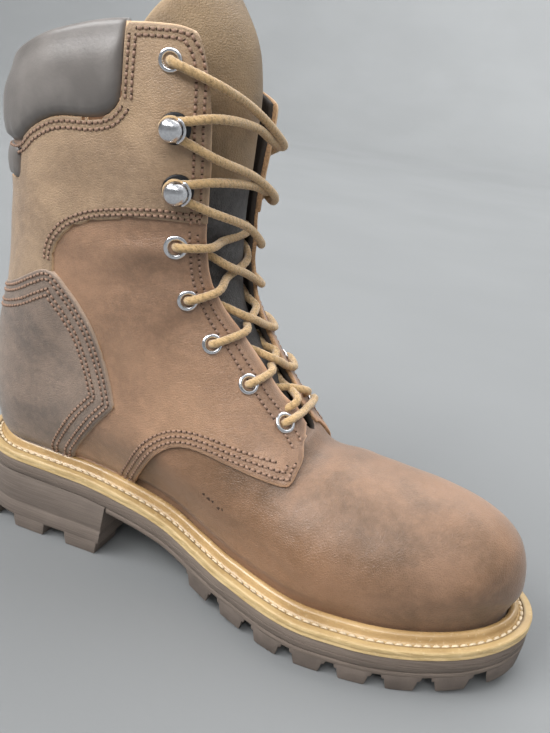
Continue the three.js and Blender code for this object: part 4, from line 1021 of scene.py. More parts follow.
def build_quarters():
    """Both quarters, running on for a few millimetres under the counter and the shaft panel."""
    part, free, outer = panel_sheet(above_welt(), quarter_edge, quarter_area, QUARTER)
    tris, lap = part["tris"], 4
    under = signed(xz(part), counter_edge, counter_area)
    under_shaft = signed(xz(part), shaft_edge, shaft_area)
    seen = (under[tris].min(1) < lap) & (under_shaft[tris].min(1) < lap)
    for side, word in SIDE_WORDS:
        y = part["p"][:, 1] * side
        half = only({**part, "free": free, "outer": outer}, seen & (y[tris].mean(1) > 0))
        add_panel("quarter_panel_" + word, half, half["free"], half["outer"], "quarter",
                  ["quarter_" + word], "leather")


def build_shaft():
    top = np.concatenate([shaft_top, corner(-0.1, 0.477)])
    part = clip(skin(), signed(xz(skin()), top, shaft_area))
    to_top = lambda q: np.minimum(distance_to(xz(q), shaft_top), collar_distance(q))
    sheet = panel_sheet(part, shaft_edge, shaft_area, SHAFT_PANEL, to_top)
    add_panel("shaft_panel_wrap", *sheet, "shaft", ["shaft_panel"], "leather_light")


def build_back_strip():
    """A narrow strip on the back seam of the shaft, under the roll."""
    bottom, top = VAMP_TOP + STRIP_BOTTOM * SHAFT_HEIGHT, VAMP_TOP + STRIP_TOP * SHAFT_HEIGHT
    front = 60
    part = skin()
    for axis, sign, limit in ((1, 1, -STRIP_HALF), (1, -1, STRIP_HALF), (2, 1, bottom), (2, -1, top),
                              (0, -1, front)):
        part = clip(part, sign * (part["p"][:, axis] - limit))
    y, z = np.abs(part["p"][:, 1]), part["p"][:, 2]
    free = np.minimum(STRIP_HALF - y, np.minimum(z - bottom, top - z))
    outer = SHAFT_PANEL + edge_profile(free, 1.5)
    add_panel("back_strip", part, free, outer, "shaft", (), "leather_light", SHAFT_PANEL - 0.4)


def build_specks():
    """Dark specks, each a few dots laid out on a spiral."""
    m = materials()
    dot = small_source("speck_source", *capsule(1.0, 1.0, 0.12))
    places, ups = [], []
    for along, rise, size in SPECKS:
        x, z = side_points([(along, rise)])[0]
        n = form_normal(LATERAL, x, z)[0]
        for k in range(int(size * 3)):
            turn = 2.4 * k
            d = 0.28 * size * math.sqrt(k / 3)
            q = form_point(LATERAL, x + d * math.cos(turn), z + d * math.sin(turn))[0]
            places.append(q + n * 0.05)
            ups.append(n)
    piece = instancer("leather_specks", places, np.cross(ups, (0, 0, 1.0)), ups, dot, m["prick"])
    finish_piece(piece, ())


def padded_band(name, columns, front, lower, upper, thickness, over_top, node):
    """A stuffed band round the back of the shaft; over_top rolls it over the collar's edge."""
    m = materials()
    section = []
    for t in np.linspace(0, 1, 15):
        if over_top:
            swell_out = mix(SHAFT_PANEL * 0.55, thickness, closing(t, 0.42, 2.2))
            section.append((0.93 * t, mix(swell_out, 0.35 * thickness, smooth((t - 0.50) / 0.55) ** 1.4)))
        else:
            section.append((t, mix(SHAFT_PANEL * 0.55, thickness, closing(min(t, 1 - t), 0.5, 2.2))))
    if over_top:
        for a in np.linspace(0.15, 1, 8):
            turn = a * math.pi
            inward = mix(0.35 * thickness, -UPPER_WALL - 1.6, (1 - math.cos(turn)) / 2)
            section.append((0.93 + 0.085 * math.sin(turn), inward))
        section += [(0.7, -UPPER_WALL - 2.2), (0.45, -UPPER_WALL - 1.2), (0.42, -0.5), (0.2, -0.5),
                    (0.0, -0.3)]
    else:
        section += [(0.9, -0.4), (0.1, -0.4)]
    points, faces, start = [], [], 0
    for side in SIDES:
        c = np.linspace(0, 1, columns)
        share = 1 - np.cos(np.pi * c / 2)
        x_mid = mix(float(back_line(VAMP_TOP + SHAFT_HEIGHT / 2)), front, share)
        low, high = lower(x_mid), upper(side, x_mid)
        rows = []
        for t, offset in section:
            z = mix(low, high, t)
            x = mix(back_line(z), front, share)
            p = form_point(side, x, np.minimum(z, high))
            n = form_normal(side, np.maximum(x, back_line(z) + 1.5), np.minimum(z, high - 2))
            n[0] = (-1, 0, 0)
            p[0, 1] = 0
            end = closing(1 - c, 0.06, 2)
            wrinkle = 0.35 * np.sin(x * 0.9 + z * 0.15) * clamp(1 - abs(t - 0.1) * 6)
            size = np.where(offset > 0, offset * mix(0.62, 1, end) + wrinkle * (offset > 2), offset)
            p = p + n * size[:, None]
            p[:, 2] = np.where(z > high, high + (z - high), p[:, 2])
            rows.append(p)
        rows = np.array(rows + rows[:1])
        points.append(rows.reshape(-1, 3))
        faces.append(grid_faces(len(rows), columns, side == MEDIAL, start))
        start += rows.shape[0] * columns
    points = np.concatenate(points)
    first, tris = merged(points, np.concatenate(faces))
    piece = new_object(name, points[first], tris, [m["pad"]])
    bm = cleaned(piece, lambda bm: bmesh.ops.holes_fill(bm, edges=bm.edges, sides=0))
    put_back(bm, piece, True)
    return finish_piece(piece, [node])


def build_collar():
    rise = reader(PAD_LINE, 1)
    padded_band("collar_padding", 52, PAD_FRONT - 0.4,
                lambda x: VAMP_TOP + rise(x / SOLE_LENGTH) * SHAFT_HEIGHT - 0.5,
                lambda side, x: collar_height(side, x) + 1.0, PAD_BULGE, True, "collar_pad")
    low = VAMP_TOP + ROLL_LINE[0][1] * SHAFT_HEIGHT
    high = VAMP_TOP + PAD_LINE[0][1] * SHAFT_HEIGHT - 0.4
    padded_band("collar_roll_band", 26, roll_end, lambda x: np.full_like(x, low),
                lambda side, x: np.full_like(x, high), ROLL_BULGE, False, "collar_roll")


def build_tongue():
    """The tongue: two halves that meet on the ridge, stuffed, with a slow wave."""
    m = materials()
    spread, sink, drop = (reader(TONGUE, k) for k in (1, 2, 3))
    start = THROAT_SHARE - 0.03
    rows, columns = 70, 22
    points, faces, count, edge = [], [], 0, []
    for side in SIDES:
        grid = np.meshgrid(np.linspace(0, 1, rows), np.linspace(0, 1, columns), indexing="ij")
        t, w = [q.ravel() for q in grid]
        share = mix(start, 1, t)
        at, run = FRONT.at(share), FRONT.tangent(share)
        angle = w * spread(t)
        depth = RIDGE_ROUNDING * (1 - np.cos(angle)) + sink(t)
        fall = drop(t) * w ** 3
        x = at[:, 0] - run[:, 1] * depth - run[:, 0] * fall
        z = at[:, 1] + run[:, 0] * depth - run[:, 1] * fall
        half = width_share(z / SHAFT_HEIGHT) * SHAFT_WIDTH / 2 * np.sin(angle)
        points.append(np.stack([x, np.where(w == 0, 0, side * half), z], 1))
        edge.append(np.minimum((1 - w) * half.max(), (1 - t) * 210))
        faces.append(grid_faces(rows, columns, side == LATERAL, count))
        count += rows * columns
    points, edge = np.concatenate(points), np.concatenate(edge)
    first, tris = merged(points, np.concatenate(faces))
    mesh = {"p": points[first], "tris": tris}
    mesh["n"] = vertex_normals(mesh["p"], tris)
    edge = edge[first]
    if mesh["n"][:, 0].mean() < 0:
        mesh["n"] *= -1
        mesh["tris"] = tris[:, ::-1]
    soft = closing(edge, 4.0)
    wave = 0.5 * np.sin(mesh["p"][:, 2] * 0.11 + 1.3) * clamp(edge / 8)
    half = TONGUE_THICKNESS / 2
    middle = -(UPPER_WALL + LINING_GAP) - half
    p, faces, zone = closed_sheet(mesh, middle + half * soft + wave * 0.5, middle - half * soft)
    piece = new_object("tongue_leather", p, faces, [m["tongue"], m["tongue"], m["edge"]], zone,
                       {"edge_mm": np.concatenate([edge, edge])})
    return finish_piece(piece, ["tongue"])


# Sole
def stations(inset, count=150):
    """Places along the sole, closer together at its ends."""
    s = (1 - np.cos(np.linspace(0, np.pi, count))) / 2
    return inset + (SOLE_LENGTH - 2 * inset) * s


def ring(inset, height, xs=None):
    """The sole's outline, drawn in by an inset, at a height of its own at each place."""
    x = stations(inset) if xs is None else xs
    lateral = np.stack([x, -outline_half(LATERAL, x, inset), height(x)], 1)
    medial = np.stack([x, outline_half(MEDIAL, x, inset), height(x)], 1)[::-1]
    return np.concatenate([lateral, medial, lateral[:1]])


def ring_mesh(rows, capped, name, material, fields, node, sharp):
    """A closed piece from rings round the sole, capped above and below or joined to itself."""
    columns = len(rows[0])
    points = np.concatenate(rows)
    faces = grid_faces(len(rows), columns)
    value = np.repeat(fields if fields is not None else np.zeros(len(rows)), columns)
    half = (columns - 1) // 2
    if capped:
        lateral, medial = np.arange(half), np.arange(half, 2 * half)[::-1]
        for base, flip in ((0, True), ((len(rows) - 1) * columns, False)):
            a, b = lateral + base, medial + base
            quads = np.stack([a[:-1], a[1:], b[1:], b[:-1]], 1)
            faces = np.concatenate([faces, quads[:, ::-1] if flip else quads])
    first, tris = merged(points, faces)
    piece = new_object(name, points[first], tris, [material], None, {"part": value[first]}, sharp)
    put_back(cleaned(piece), piece)
    piece.data.set_sharp_from_angle(angle=math.radians(sharp))
    return finish_piece(piece, [node])


def on_seat(offset):
    return lambda x: seat_height(x) + offset


def build_welt():
    m = materials()
    start = WELT_WIDTH - BEAD_WIDTH
    section = [
        (0.9, -0.2), (0.0, 0.1), (0.0, 1.3), (0.12, 1.6), (0.0, 1.9), (0.0, WELT_THICKNESS - 0.9),
        (0.25, WELT_THICKNESS - 0.3), (0.9, WELT_THICKNESS), (start - 3.0, WELT_THICKNESS),
        (start - 2.6, WELT_THICKNESS - 0.7), (start - 1.2, WELT_THICKNESS - 0.75),
        (start - 0.7, WELT_THICKNESS - 0.1), (start - 0.2, WELT_THICKNESS + 0.3),
    ]
    for a in np.linspace(0.0, 1.0, 9):
        turn = math.pi * (1.0 - a * 0.92)
        section.append((start + BEAD_WIDTH / 2 + math.cos(turn) * BEAD_WIDTH / 2,
                        BEAD_RISE - 2.5 + 2.5 * math.sin(turn)))
    section += [(WELT_WIDTH + 0.1, BEAD_RISE - 3), (WELT_WIDTH + 0.1, -0.2)]
    part = []
    for inset, height in section:
        part.append(0.0 if height < WELT_THICKNESS - 0.6 and inset < 0.6 else
                    clamp(0.3 + 0.3 * (inset - 0.9) / (start - 1.2)) if inset < start else 0.8)
    section.append(section[0])
    part.append(part[0])
    rows = [ring(inset, on_seat(height)) for inset, height in section]
    ring_mesh(rows, False, "welt_ring", m["welt"], np.array(part, float), "welt", 50)


def build_midsole():
    m = materials()
    rows = []
    for inset, share in ((0.6, 1.0), (0.40, 0.97), (0.40, 0.62), (0.75, 0.60), (0.75, 0.565), (0.40, 0.545),
                         (0.35, 0.06), (0.55, 0.03)):
        rows.append(ring(inset, on_seat(-MIDSOLE * share)))
    ring_mesh(rows, True, "midsole_band", m["band"], None, "midsole", 50)


def build_insole():
    m = materials()
    inset = SEAT_INSET + UPPER_WALL + 0.9
    rows = [ring(inset + a, on_seat(h)) for a, h in ((0.3, 0.3), (0.0, 1.0), (0.0, 3.4), (0.8, 4.0))]
    ring_mesh(rows, True, "insole_sheet", m["insole"], None, "insole", 60)


def lug_mesh(side, from_x, to_x, outer_inset, inner_inset, top, bottom, draft=LUG_DRAFT):
    """Vertices and faces of one lug that follows the outline."""
    def level(height, shrink):
        xs = np.linspace(from_x + shrink, to_x - shrink, LUG_STEPS + 1)
        ox = np.minimum(xs, SOLE_LENGTH - outer_inset - shrink - 0.2)
        outer = np.stack([ox, side * outline_half(side, ox, outer_inset + shrink * 0.5), height(xs)], 1)
        ix = np.minimum(xs, SOLE_LENGTH - inner_inset)
        inner = np.stack([xs, side * np.maximum(outline_half(side, ix, inner_inset), 1.5), height(xs)], 1)
        return np.concatenate([outer, inner[::-1]])
    middle = lambda x: mix(top(x), bottom(x), 0.5)
    rows = [level(top, 0), level(middle, draft * 0.35), level(bottom, draft)]
    count = len(rows[0])
    faces = []
    for k in range(2):
        for j in range(count):
            a, b = k * count + j, k * count + (j + 1) % count
            faces.append((a, b, b + count, a + count))
    half = count // 2
    for base, flip in ((0, True), (2 * count, False)):
        for j in range(half - 1):
            quad = (base + j, base + j + 1, base + count - 2 - j, base + count - 1 - j)
            faces.append(quad[::-1] if flip else quad)
    return np.concatenate(rows), faces


def block_mesh(x, length, width, top, bottom):
    """A centre block with a waist, drawn in a little towards its foot."""
    shape = np.array([(-0.5, -0.5), (0, -0.33), (0.5, -0.5), (0.5, 0.5), (0, 0.33), (-0.5, 0.5)])
    rows = []
    for height, shrink in ((top, 0.0), (bottom, 1.2)):
        flat = shape * (length - 2 * shrink, width - 2 * shrink) + (x, 0)
        rows.append(np.column_stack([flat, np.full(6, height)]))
    faces = [(j, (j + 1) % 6, (j + 1) % 6 + 6, j + 6) for j in range(6)]
    faces += [tuple(range(5, -1, -1)), tuple(range(6, 12))]
    return np.concatenate(rows), faces


def joined_lugs(name, parts, material):
    points, faces, start = [], [], 0
    for p, f in parts:
        points.append(p)
        faces += [tuple(v + start for v in q) for q in f]
        start += len(p)
    piece = new_object(name, np.concatenate(points), faces, [material])
    bm = cleaned(piece)
    sharp = [e for e in bm.edges if len(e.link_faces) == 2 and e.calc_face_angle(0) > 0.7]
    bmesh.ops.bevel(bm, geom=sharp, offset=0.0006, segments=2, affect="EDGES", profile=0.6)
    put_back(bm, piece, True)
    piece.data.set_sharp_from_angle(angle=math.radians(35))
    return piece


def tread_bottom(x):
    return np.maximum(seat_height(x) - FORE_SEAT - TREAD_FLAT, 0)


def build_outsole():
    m = materials()
    plate_top = on_seat(-MIDSOLE - CLEARANCE - 0.1)
    plate_bottom = on_seat(-MIDSOLE - OUTSOLE)
    start = HEEL_BLOCK_LENGTH + PLATE_GAP
    xs = lambda inset: start + (SOLE_LENGTH - inset - start) * np.sin(np.linspace(0, np.pi / 2, 120))
    rows = [ring(1.0, plate_bottom, xs(1.0)), ring(0.5, lambda x: plate_bottom(x) + 0.6, xs(0.5)),
            ring(0.5, lambda x: plate_top(x) - 0.25, xs(0.5)), ring(0.7, plate_top, xs(0.7))]
    ring_mesh(rows, True, "outsole_plate", m["band"], None, "outsole", 50)
    into = lambda x: plate_bottom(x) + 1
    step_bottom = lambda x: mix(into(x), tread_bottom(x), 0.36)
    parts = []
    count = int((SOLE_LENGTH - LAST_LUG_GAP - FIRST_LUG) // LUG_PITCH)
    for i in range(count):
        from_x = FIRST_LUG + i * LUG_PITCH
        to_x = from_x + LUG_LENGTH
        for side in SIDES:
            parts.append(lug_mesh(side, from_x, to_x, LUG_INSET, LUG_INWARD, into, tread_bottom))
            parts.append(lug_mesh(side, from_x - LUG_STEP_SPREAD, to_x + LUG_STEP_SPREAD, LUG_INSET + 0.1,
                                  LUG_INWARD - 2, into, step_bottom, 0.6))
        middle = from_x + LUG_LENGTH / 2 + LUG_PITCH / 2
        half = min(float(outline_half(s, np.array(middle), LUG_INWARD)) for s in SIDES)
        if half > NARROWEST_BLOCK and i < count - 1:
            parts.append(block_mesh(middle, 0.75 * LUG_LENGTH, 2 * (half - BLOCK_GAP), float(into(middle)),
                                    float(tread_bottom(middle))))
    for side in SIDES:
        parts.append(lug_mesh(side, SOLE_LENGTH - 15, SOLE_LENGTH - 1.5, LUG_INSET, 46, into, tread_bottom))
    piece = joined_lugs("outsole_lugs", parts, m["tread"])
    finish_piece(piece, ())


def build_heel():
    m = materials()
    top = on_seat(-MIDSOLE - CLEARANCE - 0.1)
    levels = []
    for t, inset in ((0.0, 0.9), (0.04, 0.5), (0.30, 0.45), (0.325, 0.75), (0.35, 0.75), (0.375, 0.45),
                     (0.97, 0.4), (1.0, 0.7)):
        length = HEEL_BLOCK_LENGTH - BREAST_SLANT * (1 - t) - HEEL_EDGE
        xs = inset + length * (1 - np.cos(np.linspace(0, np.pi / 2, 90)))
        levels.append(ring(inset, lambda x: mix(LUG_DEPTH, top(x), t), xs))
    ring_mesh(levels, True, "heel_block", m["heel"], None, "heel", 40)
    parts = []
    root, first = LUG_DEPTH + 1.0, 2
    pitch = (HEEL_BLOCK_LENGTH - BREAST_SLANT - HEEL_LUG_LENGTH - first - 1) / (HEEL_LUGS - 1)
    for i in range(HEEL_LUGS):
        for side in SIDES:
            from_x = first + i * pitch
            parts.append(lug_mesh(side, from_x, from_x + HEEL_LUG_LENGTH, 0.6, HEEL_LUG_INWARD,
                                  lambda x: np.full_like(x, root), np.zeros_like, 1.2))
    parts.append(block_mesh(ORIGIN_AHEAD, 26, 22, root, 0.0))
    piece = joined_lugs("heel_lugs", parts, m["heel"])
    finish_piece(piece, ())


# Repeated pieces, made with Geometry Nodes
def instancer(name, points, forward, up, source, material):
    """Copies of a small mesh on points, each turned by its own two directions, then made real."""
    shift = np.array([ORIGIN_AHEAD, 0, 0])
    mesh = bpy.data.meshes.new(name)
    mesh.from_pydata(((np.asarray(points) - shift) * MM).tolist(), [], [])
    for key, values in (("forward", forward), ("up", up)):
        attribute = mesh.attributes.new(key, "FLOAT_VECTOR", "POINT")
        attribute.data.foreach_set("vector", np.asarray(values, np.float32).ravel())
    holder = bpy.data.objects.new(name + "_points", mesh)
    bpy.context.scene.collection.objects.link(holder)
    group = bpy.data.node_groups.new(name + "_nodes", "GeometryNodeTree")
    group.interface.new_socket("Geometry", in_out="INPUT", socket_type="NodeSocketGeometry")
    size = group.interface.new_socket("Size", in_out="INPUT", socket_type="NodeSocketFloat")
    size.default_value = 1.0
    seed = group.interface.new_socket("Seed", in_out="INPUT", socket_type="NodeSocketInt")
    seed.default_value = 7
    group.interface.new_socket("Geometry", in_out="OUTPUT", socket_type="NodeSocketGeometry")
    nodes, links = group.nodes, group.links
    enter, leave = nodes.new("NodeGroupInput"), nodes.new("NodeGroupOutput")
    info = nodes.new("GeometryNodeObjectInfo")
    info.inputs["Object"].default_value = source
    directions = []
    for key in ("forward", "up"):
        node = nodes.new("GeometryNodeInputNamedAttribute")
        node.data_type = "FLOAT_VECTOR"
        node.inputs["Name"].default_value = key
        directions.append(node.outputs[0])
    first = nodes.new("FunctionNodeAlignRotationToVector")
    first.axis = "Z"
    second = nodes.new("FunctionNodeAlignRotationToVector")
    second.axis, second.pivot_axis = "X", "Z"
    jitter = nodes.new("FunctionNodeRandomValue")
    jitter.data_type = "FLOAT"
    jitter.inputs[2].default_value, jitter.inputs[3].default_value = 0.93, 1.07
    times = nodes.new("ShaderNodeMath")
    times.operation = "MULTIPLY"
    place = nodes.new("GeometryNodeInstanceOnPoints")
    real = nodes.new("GeometryNodeRealizeInstances")
    paint = nodes.new("GeometryNodeSetMaterial")
    paint.inputs["Material"].default_value = material
    for from_socket, to_socket in (
        (enter.outputs["Geometry"], place.inputs["Points"]),
        (info.outputs["Geometry"], place.inputs["Instance"]),
        (directions[1], first.inputs["Vector"]), (first.outputs[0], second.inputs["Rotation"]),
        (directions[0], second.inputs["Vector"]), (second.outputs[0], place.inputs["Rotation"]),
        (enter.outputs["Seed"], jitter.inputs["Seed"]), (jitter.outputs[1], times.inputs[0]),
        (enter.outputs["Size"], times.inputs[1]), (times.outputs[0], place.inputs["Scale"]),
        (place.outputs[0], real.inputs[0]), (real.outputs[0], paint.inputs[0]),
        (paint.outputs[0], leave.inputs[0]),
    ):
        links.new(from_socket, to_socket)
    modifier = holder.modifiers.new("copies", "NODES")
    modifier.node_group = group
    modifier[size.identifier] = 1.0
    modifier[seed.identifier] = 7
    depsgraph = bpy.context.evaluated_depsgraph_get()
    depsgraph.update()
    made = bpy.data.meshes.new_from_object(holder.evaluated_get(depsgraph))
    made.name = name
    holder.modifiers.clear()
    bpy.data.objects.remove(holder)
    bpy.data.node_groups.remove(group)
    made.materials.clear()
    made.materials.append(material)
    made.polygons.foreach_set("material_index", np.zeros(len(made.polygons), np.int32))
    piece = bpy.data.objects.new(name, made)
    bpy.context.scene.collection.objects.link(piece)
    return piece


def small_source(name, points, faces):
    """A hidden source mesh for copies, in metres round its own origin."""
    mesh = bpy.data.meshes.new(name)
    mesh.from_pydata((np.asarray(points) * MM).tolist(), [], faces)
    mesh.polygons.foreach_set("use_smooth", np.ones(len(mesh.polygons), bool))
    mesh.update()
    return bpy.data.objects.new(name, mesh)


def capsule(length, width, height):
    """A stitch: rounded at its ends, a little lower there than in its middle."""
    rows, around = 4, 6
    points, faces = [], []
    for i in range(rows + 1):
        t = i / rows
        x = -length / 2 + length * t
        r = math.sqrt(max(1 - (2 * t - 1) ** 4, 0.0))
        bow = -0.35 * height * (2 * t - 1) ** 2
        for j in range(around):
            a = 2 * math.pi * j / around
            points.append((x, r * math.cos(a) * width / 2, bow + r * math.sin(a) * height / 2))
    for i in range(rows):
        for j in range(around):
            a, b = i * around + j, i * around + (j + 1) % around
            faces.append((a, a + around, b + around, b))
    faces += [tuple(range(around)), tuple(range((rows + 1) * around - 1, rows * around - 1, -1))]
    return points, faces


def lathe(profile, around=32):
    points, faces = [], []
    for r, h in profile:
        for j in range(around):
            a = 2 * math.pi * j / around
            points.append((r * math.cos(a), r * math.sin(a), h))
    for i in range(len(profile) - 1):
        for j in range(around):
            a, b = i * around + j, i * around + (j + 1) % around
            faces.append((a, b, b + around, a + around))
    return points, faces


def length_along(points):
    return np.concatenate([[0], np.cumsum(np.linalg.norm(np.diff(points, axis=0), axis=1))])


def at_length(s, along, points):
    """Places at given lengths along a line."""
    return np.stack([np.interp(s, along, q) for q in points.T], 1)


def surface_line(side, line, offset, pitch):
    """Evenly spaced places on the form over a side-view line: points, directions and normals."""
    dense = Line(line, 900).at(np.linspace(0, 1, 900))
    dense = dense[dense[:, 0] >= back_line(dense[:, 1]) + 0.05]
    if len(dense) < 3:
        return np.zeros((0, 3)), np.zeros((0, 3)), np.zeros((0, 3))
    n = form_normal(side, dense[:, 0], dense[:, 1])
    p = form_point(side, dense[:, 0], dense[:, 1]) + n * (offset + fold_depth(dense))[:, None]
    along = length_along(p)
    s = pitch * (np.arange(max(int(along[-1] // pitch), 2)) + 0.5)
    ahead = at_length(s + 0.6, along, p) - at_length(s - 0.6, along, p)
    ahead /= np.maximum(np.linalg.norm(ahead, axis=1, keepdims=True), 1e-9)
    return at_length(s, along, p), ahead, at_length(s, along, n)


def shifted(line, distance):
    """A side-view line moved sideways: positive distances to its left."""
    line = np.asarray(line, float)
    run = np.gradient(line, axis=0)
    run /= np.maximum(np.linalg.norm(run, axis=1, keepdims=True), 1e-9)
    moved = line + np.stack([-run[:, 1], run[:, 0]], 1) * distance
    gap = np.linalg.norm(moved[:, None] - line[None], axis=2).min(1)
    return moved[gap > abs(distance) - 0.3]


def stitch_rows():
    """Every stitch row of the upper: side-view line, offset and which sides it runs on."""
    rows = []

    def add(line, distances, panel, sides=SIDES):
        for d in distances:
            rows.append((shifted(line, d), panel + STITCH_LIFT, sides))

    add(counter_edge, (-2.6, -5.4, -10.2, -13.0), COUNTER)
    add(quarter_edge[:-14], (2.8, 5.6, 8.4), QUARTER)
    throat_x = np.interp(seam_edge[:, 1], throat_edge[:, 1], throat_edge[:, 0])
    add(seam_edge[4:][(seam_edge[:, 0] < throat_x - 2)[4:]], (2.2, 4.6), SHAFT_PANEL)
    add(pad_edge, (-2.6, -5.4), SHAFT_PANEL)
    front_top = VAMP_TOP + 0.79 * SHAFT_HEIGHT
    front = np.array([(PAD_FRONT, z) for z in np.linspace(pad_edge[-1][1], front_top, 20)])
    for d in (-2.6, -5.4):
        add(front, (d,), SHAFT_PANEL, (LATERAL,))
        add(front[:12], (d,), SHAFT_PANEL, (MEDIAL,))
    seam_height = VAMP_TOP + 0.45 * SHAFT_HEIGHT
    seam_at = np.interp(throat_edge[:, 1], [seam_height - 1, seam_height + 1], [0, 1])
    low, high = throat_edge[seam_at < 0.5], throat_edge[seam_at > 0.5]
    add(low, (2.8, 5.4), QUARTER)
    for side in SIDES:
        rising = high[high[:, 1] < collar_height(side, high[:, 0]) - 1.0]
        back = np.linspace(rising[-1, 0] - 1.0, PAD_FRONT + 4, 24)
        round_top = np.concatenate([rising, np.stack([back, collar_height(side, back)], 1)])
        add(round_top, (2.8, 5.4), SHAFT_PANEL, (side,))
    return rows


def build_stitches():
    m = materials()
    look = bpy.context.scene.boot_look
    pitch = look.stitch_pitch / MM
    found = [surface_line(side, line, offset, pitch)
             for line, offset, sides in stitch_rows() for side in sides]
    places, ahead, ups = (np.concatenate(q) for q in zip(*found))
    source = small_source("stitch_source", *capsule(look.stitch_length / MM, STITCH_WIDTH, STITCH_HEIGHT))
    piece = instancer("stitches_upper", places, ahead, ups, source, m["stitch"])
    finish_piece(piece, ())
    # A dark mark between each two stitches: painted shade in the needle holes.
    prick = small_source("prick_source", *capsule(0.8, 1.3, 0.5))
    piece = instancer("stitch_pricks", places + ahead * pitch / 2, ahead, ups, prick, m["prick"])
    finish_piece(piece, ())
    rim = ring(WELT_WIDTH - BEAD_WIDTH - 1.9, on_seat(WELT_THICKNESS - 0.35))
    along = length_along(rim)
    s = np.arange(0, along[-1] - 2, WELT_STITCH_PITCH)
    ahead = at_length(s + 1, along, rim) - at_length(s - 1, along, rim)
    ahead /= np.linalg.norm(ahead, axis=1, keepdims=True)
    ups = np.cross(np.cross(ahead, (0, 0, 1.0)), ahead)
    thick = small_source("welt_stitch_source", *capsule(WELT_STITCH_PITCH - 0.1, 1.7, 1.1))
    piece = instancer("stitches_welt", at_length(s, along, rim), ahead, ups, thick, m["stitch_pale"])
    finish_piece(piece, ())


def lacing_spot(side, index):
    """Place and outward direction of an eyelet or hook, and the panel's thickness there."""
    _, along, lateral, medial = LACING[index]
    x, z = side_points([(along, lateral if side < 0 else medial)])[0]
    top = SHAFT_PANEL if index >= 5 else QUARTER
    return form_point(side, x, z)[0], form_normal(side, x, z)[0], top


def build_metal():
    m = materials()
    ring_profile = [(3.2, -3.2), (3.2, 0.55)]
    for a in np.linspace(0, 1, 9):
        turn = math.pi * (1 - a)
        ring_profile.append((4.25 + 1.05 * math.cos(turn), 0.45 + 0.7 * math.sin(turn)))
    ring_profile += [(5.3, 0.15), (4.9, -0.1), (3.5, -0.1), (3.5, -3.2), (3.2, -3.2)]
    eyelet = small_source("eyelet_source", *lathe(ring_profile, 36))
    dome = [(0.0, -0.2), (4.0, -0.2), (4.2, 0.3), (3.9, 0.75), (2.3, 0.9), (1.7, 1.6), (1.7, 4.2),
            (3.2, 4.5), (4.8, 4.9), (5.25, 5.8), (5.1, 7.0), (4.35, 8.3), (3.1, 9.3), (1.6, 9.8), (0.0, 9.95)]
    hook_points, hook_faces = lathe(dome, 32)
    lip_path = [(5.6 * math.cos(a) + 0.5, 5.6 * math.sin(a), 5.0 + 0.8 * math.cos(a))
                for a in np.linspace(math.radians(-68), math.radians(64), 22)]
    lip_points, lip_faces, _ = rope(lip_path, 0.72, 0.7, 8, 1e9)
    hook_faces = hook_faces + [tuple(v + len(hook_points) for v in f) for f in lip_faces]
    hook = small_source("hook_source", list(hook_points) + [tuple(p) for p in lip_points], hook_faces)
    disc = [(0.0, -0.1), (6.6, -0.1), (6.9, 0.2), (6.4, 0.55), (0.0, 0.6)]
    dark_disc = small_source("plate_source", *lathe(disc, 32))
    for kind, source, name in (("eyelet", eyelet, "eyelet_rings"), ("hook", hook, "speed_hooks")):
        places, ups, nodes = [], [], []
        for side, word in SIDE_WORDS:
            for i, row in enumerate(LACING):
                if row[0] != kind:
                    continue
                p, n, top = lacing_spot(side, i)
                places.append(p + n * (top + 0.1))
                ups.append(n)
                nodes.append(f"{kind}_{word}_{i + 1}")
        places, ups = np.array(places), np.array(ups)
        forward = np.array([1.0, 0, 0]) - ups * ups[:, :1]
        forward /= np.linalg.norm(forward, axis=1, keepdims=True)
        # A dark, slightly metallic disc under each hook's head, a little towards the toe.
        if kind == "hook":
            dark = instancer("hook_plates", places + forward * 1.2, forward, ups, dark_disc, m["dark_metal"])
            finish_piece(dark, ())
        piece = instancer(name, places, forward, ups, source, m["metal"])
        put_back(cleaned(piece, lambda bm: bmesh.ops.remove_doubles(bm, verts=bm.verts, dist=1e-6)), piece)
        finish_piece(piece, nodes)


# Lace
def throat_point(side, z, offset, inward=0.0):
    """A place over a facing's edge at a height, moved out from the form."""
    line = spline_at(THROAT, np.linspace(0, 1, 600))
    x = float(np.interp(z, line[:, 1], line[:, 0])) + inward
    return form_point(side, x, z)[0] + form_normal(side, x, z)[0] * offset


def ridge_point(z, out):
    """A place over the middle of the tongue at a height."""
    line = FRONT.points[FRONT.points[:, 1] > VAMP_TOP - 2]
    i = np.argmin(np.abs(line[:, 1] - z))
    return np.array([line[i][0] + out, 0, z])


def cross_over(side, index, target_z):
    """From an eyelet over its own facing, across the throat and under the other facing's edge."""
    p, _, top = lacing_spot(side, index)
    leave, rise = (0.22, 3.0) if side < 0 else (-0.04, 6.4)
    edge, a = (throat_point(side, mix(p[2], target_z, t), out)
               for t, out in ((leave, top + LACE_RADIUS + 0.2), (leave + 0.10, 0.0)))
    b = throat_point(-side, mix(p[2], target_z, 0.80), 0.0)
    points = [edge]
    for t in (0.25, 0.5, 0.75):
        points.append(mix(a, b, t) + (0.5 + rise * math.sin(math.pi * t), 0, 0))
    for t, under, inward in ((0.86, LACE_RADIUS * 0.6, 1.0), (0.98, LACE_RADIUS + 0.8, -7.0)):
        points.append(throat_point(-side, mix(p[2], target_z, t), -UPPER_WALL - under, inward))
    return points


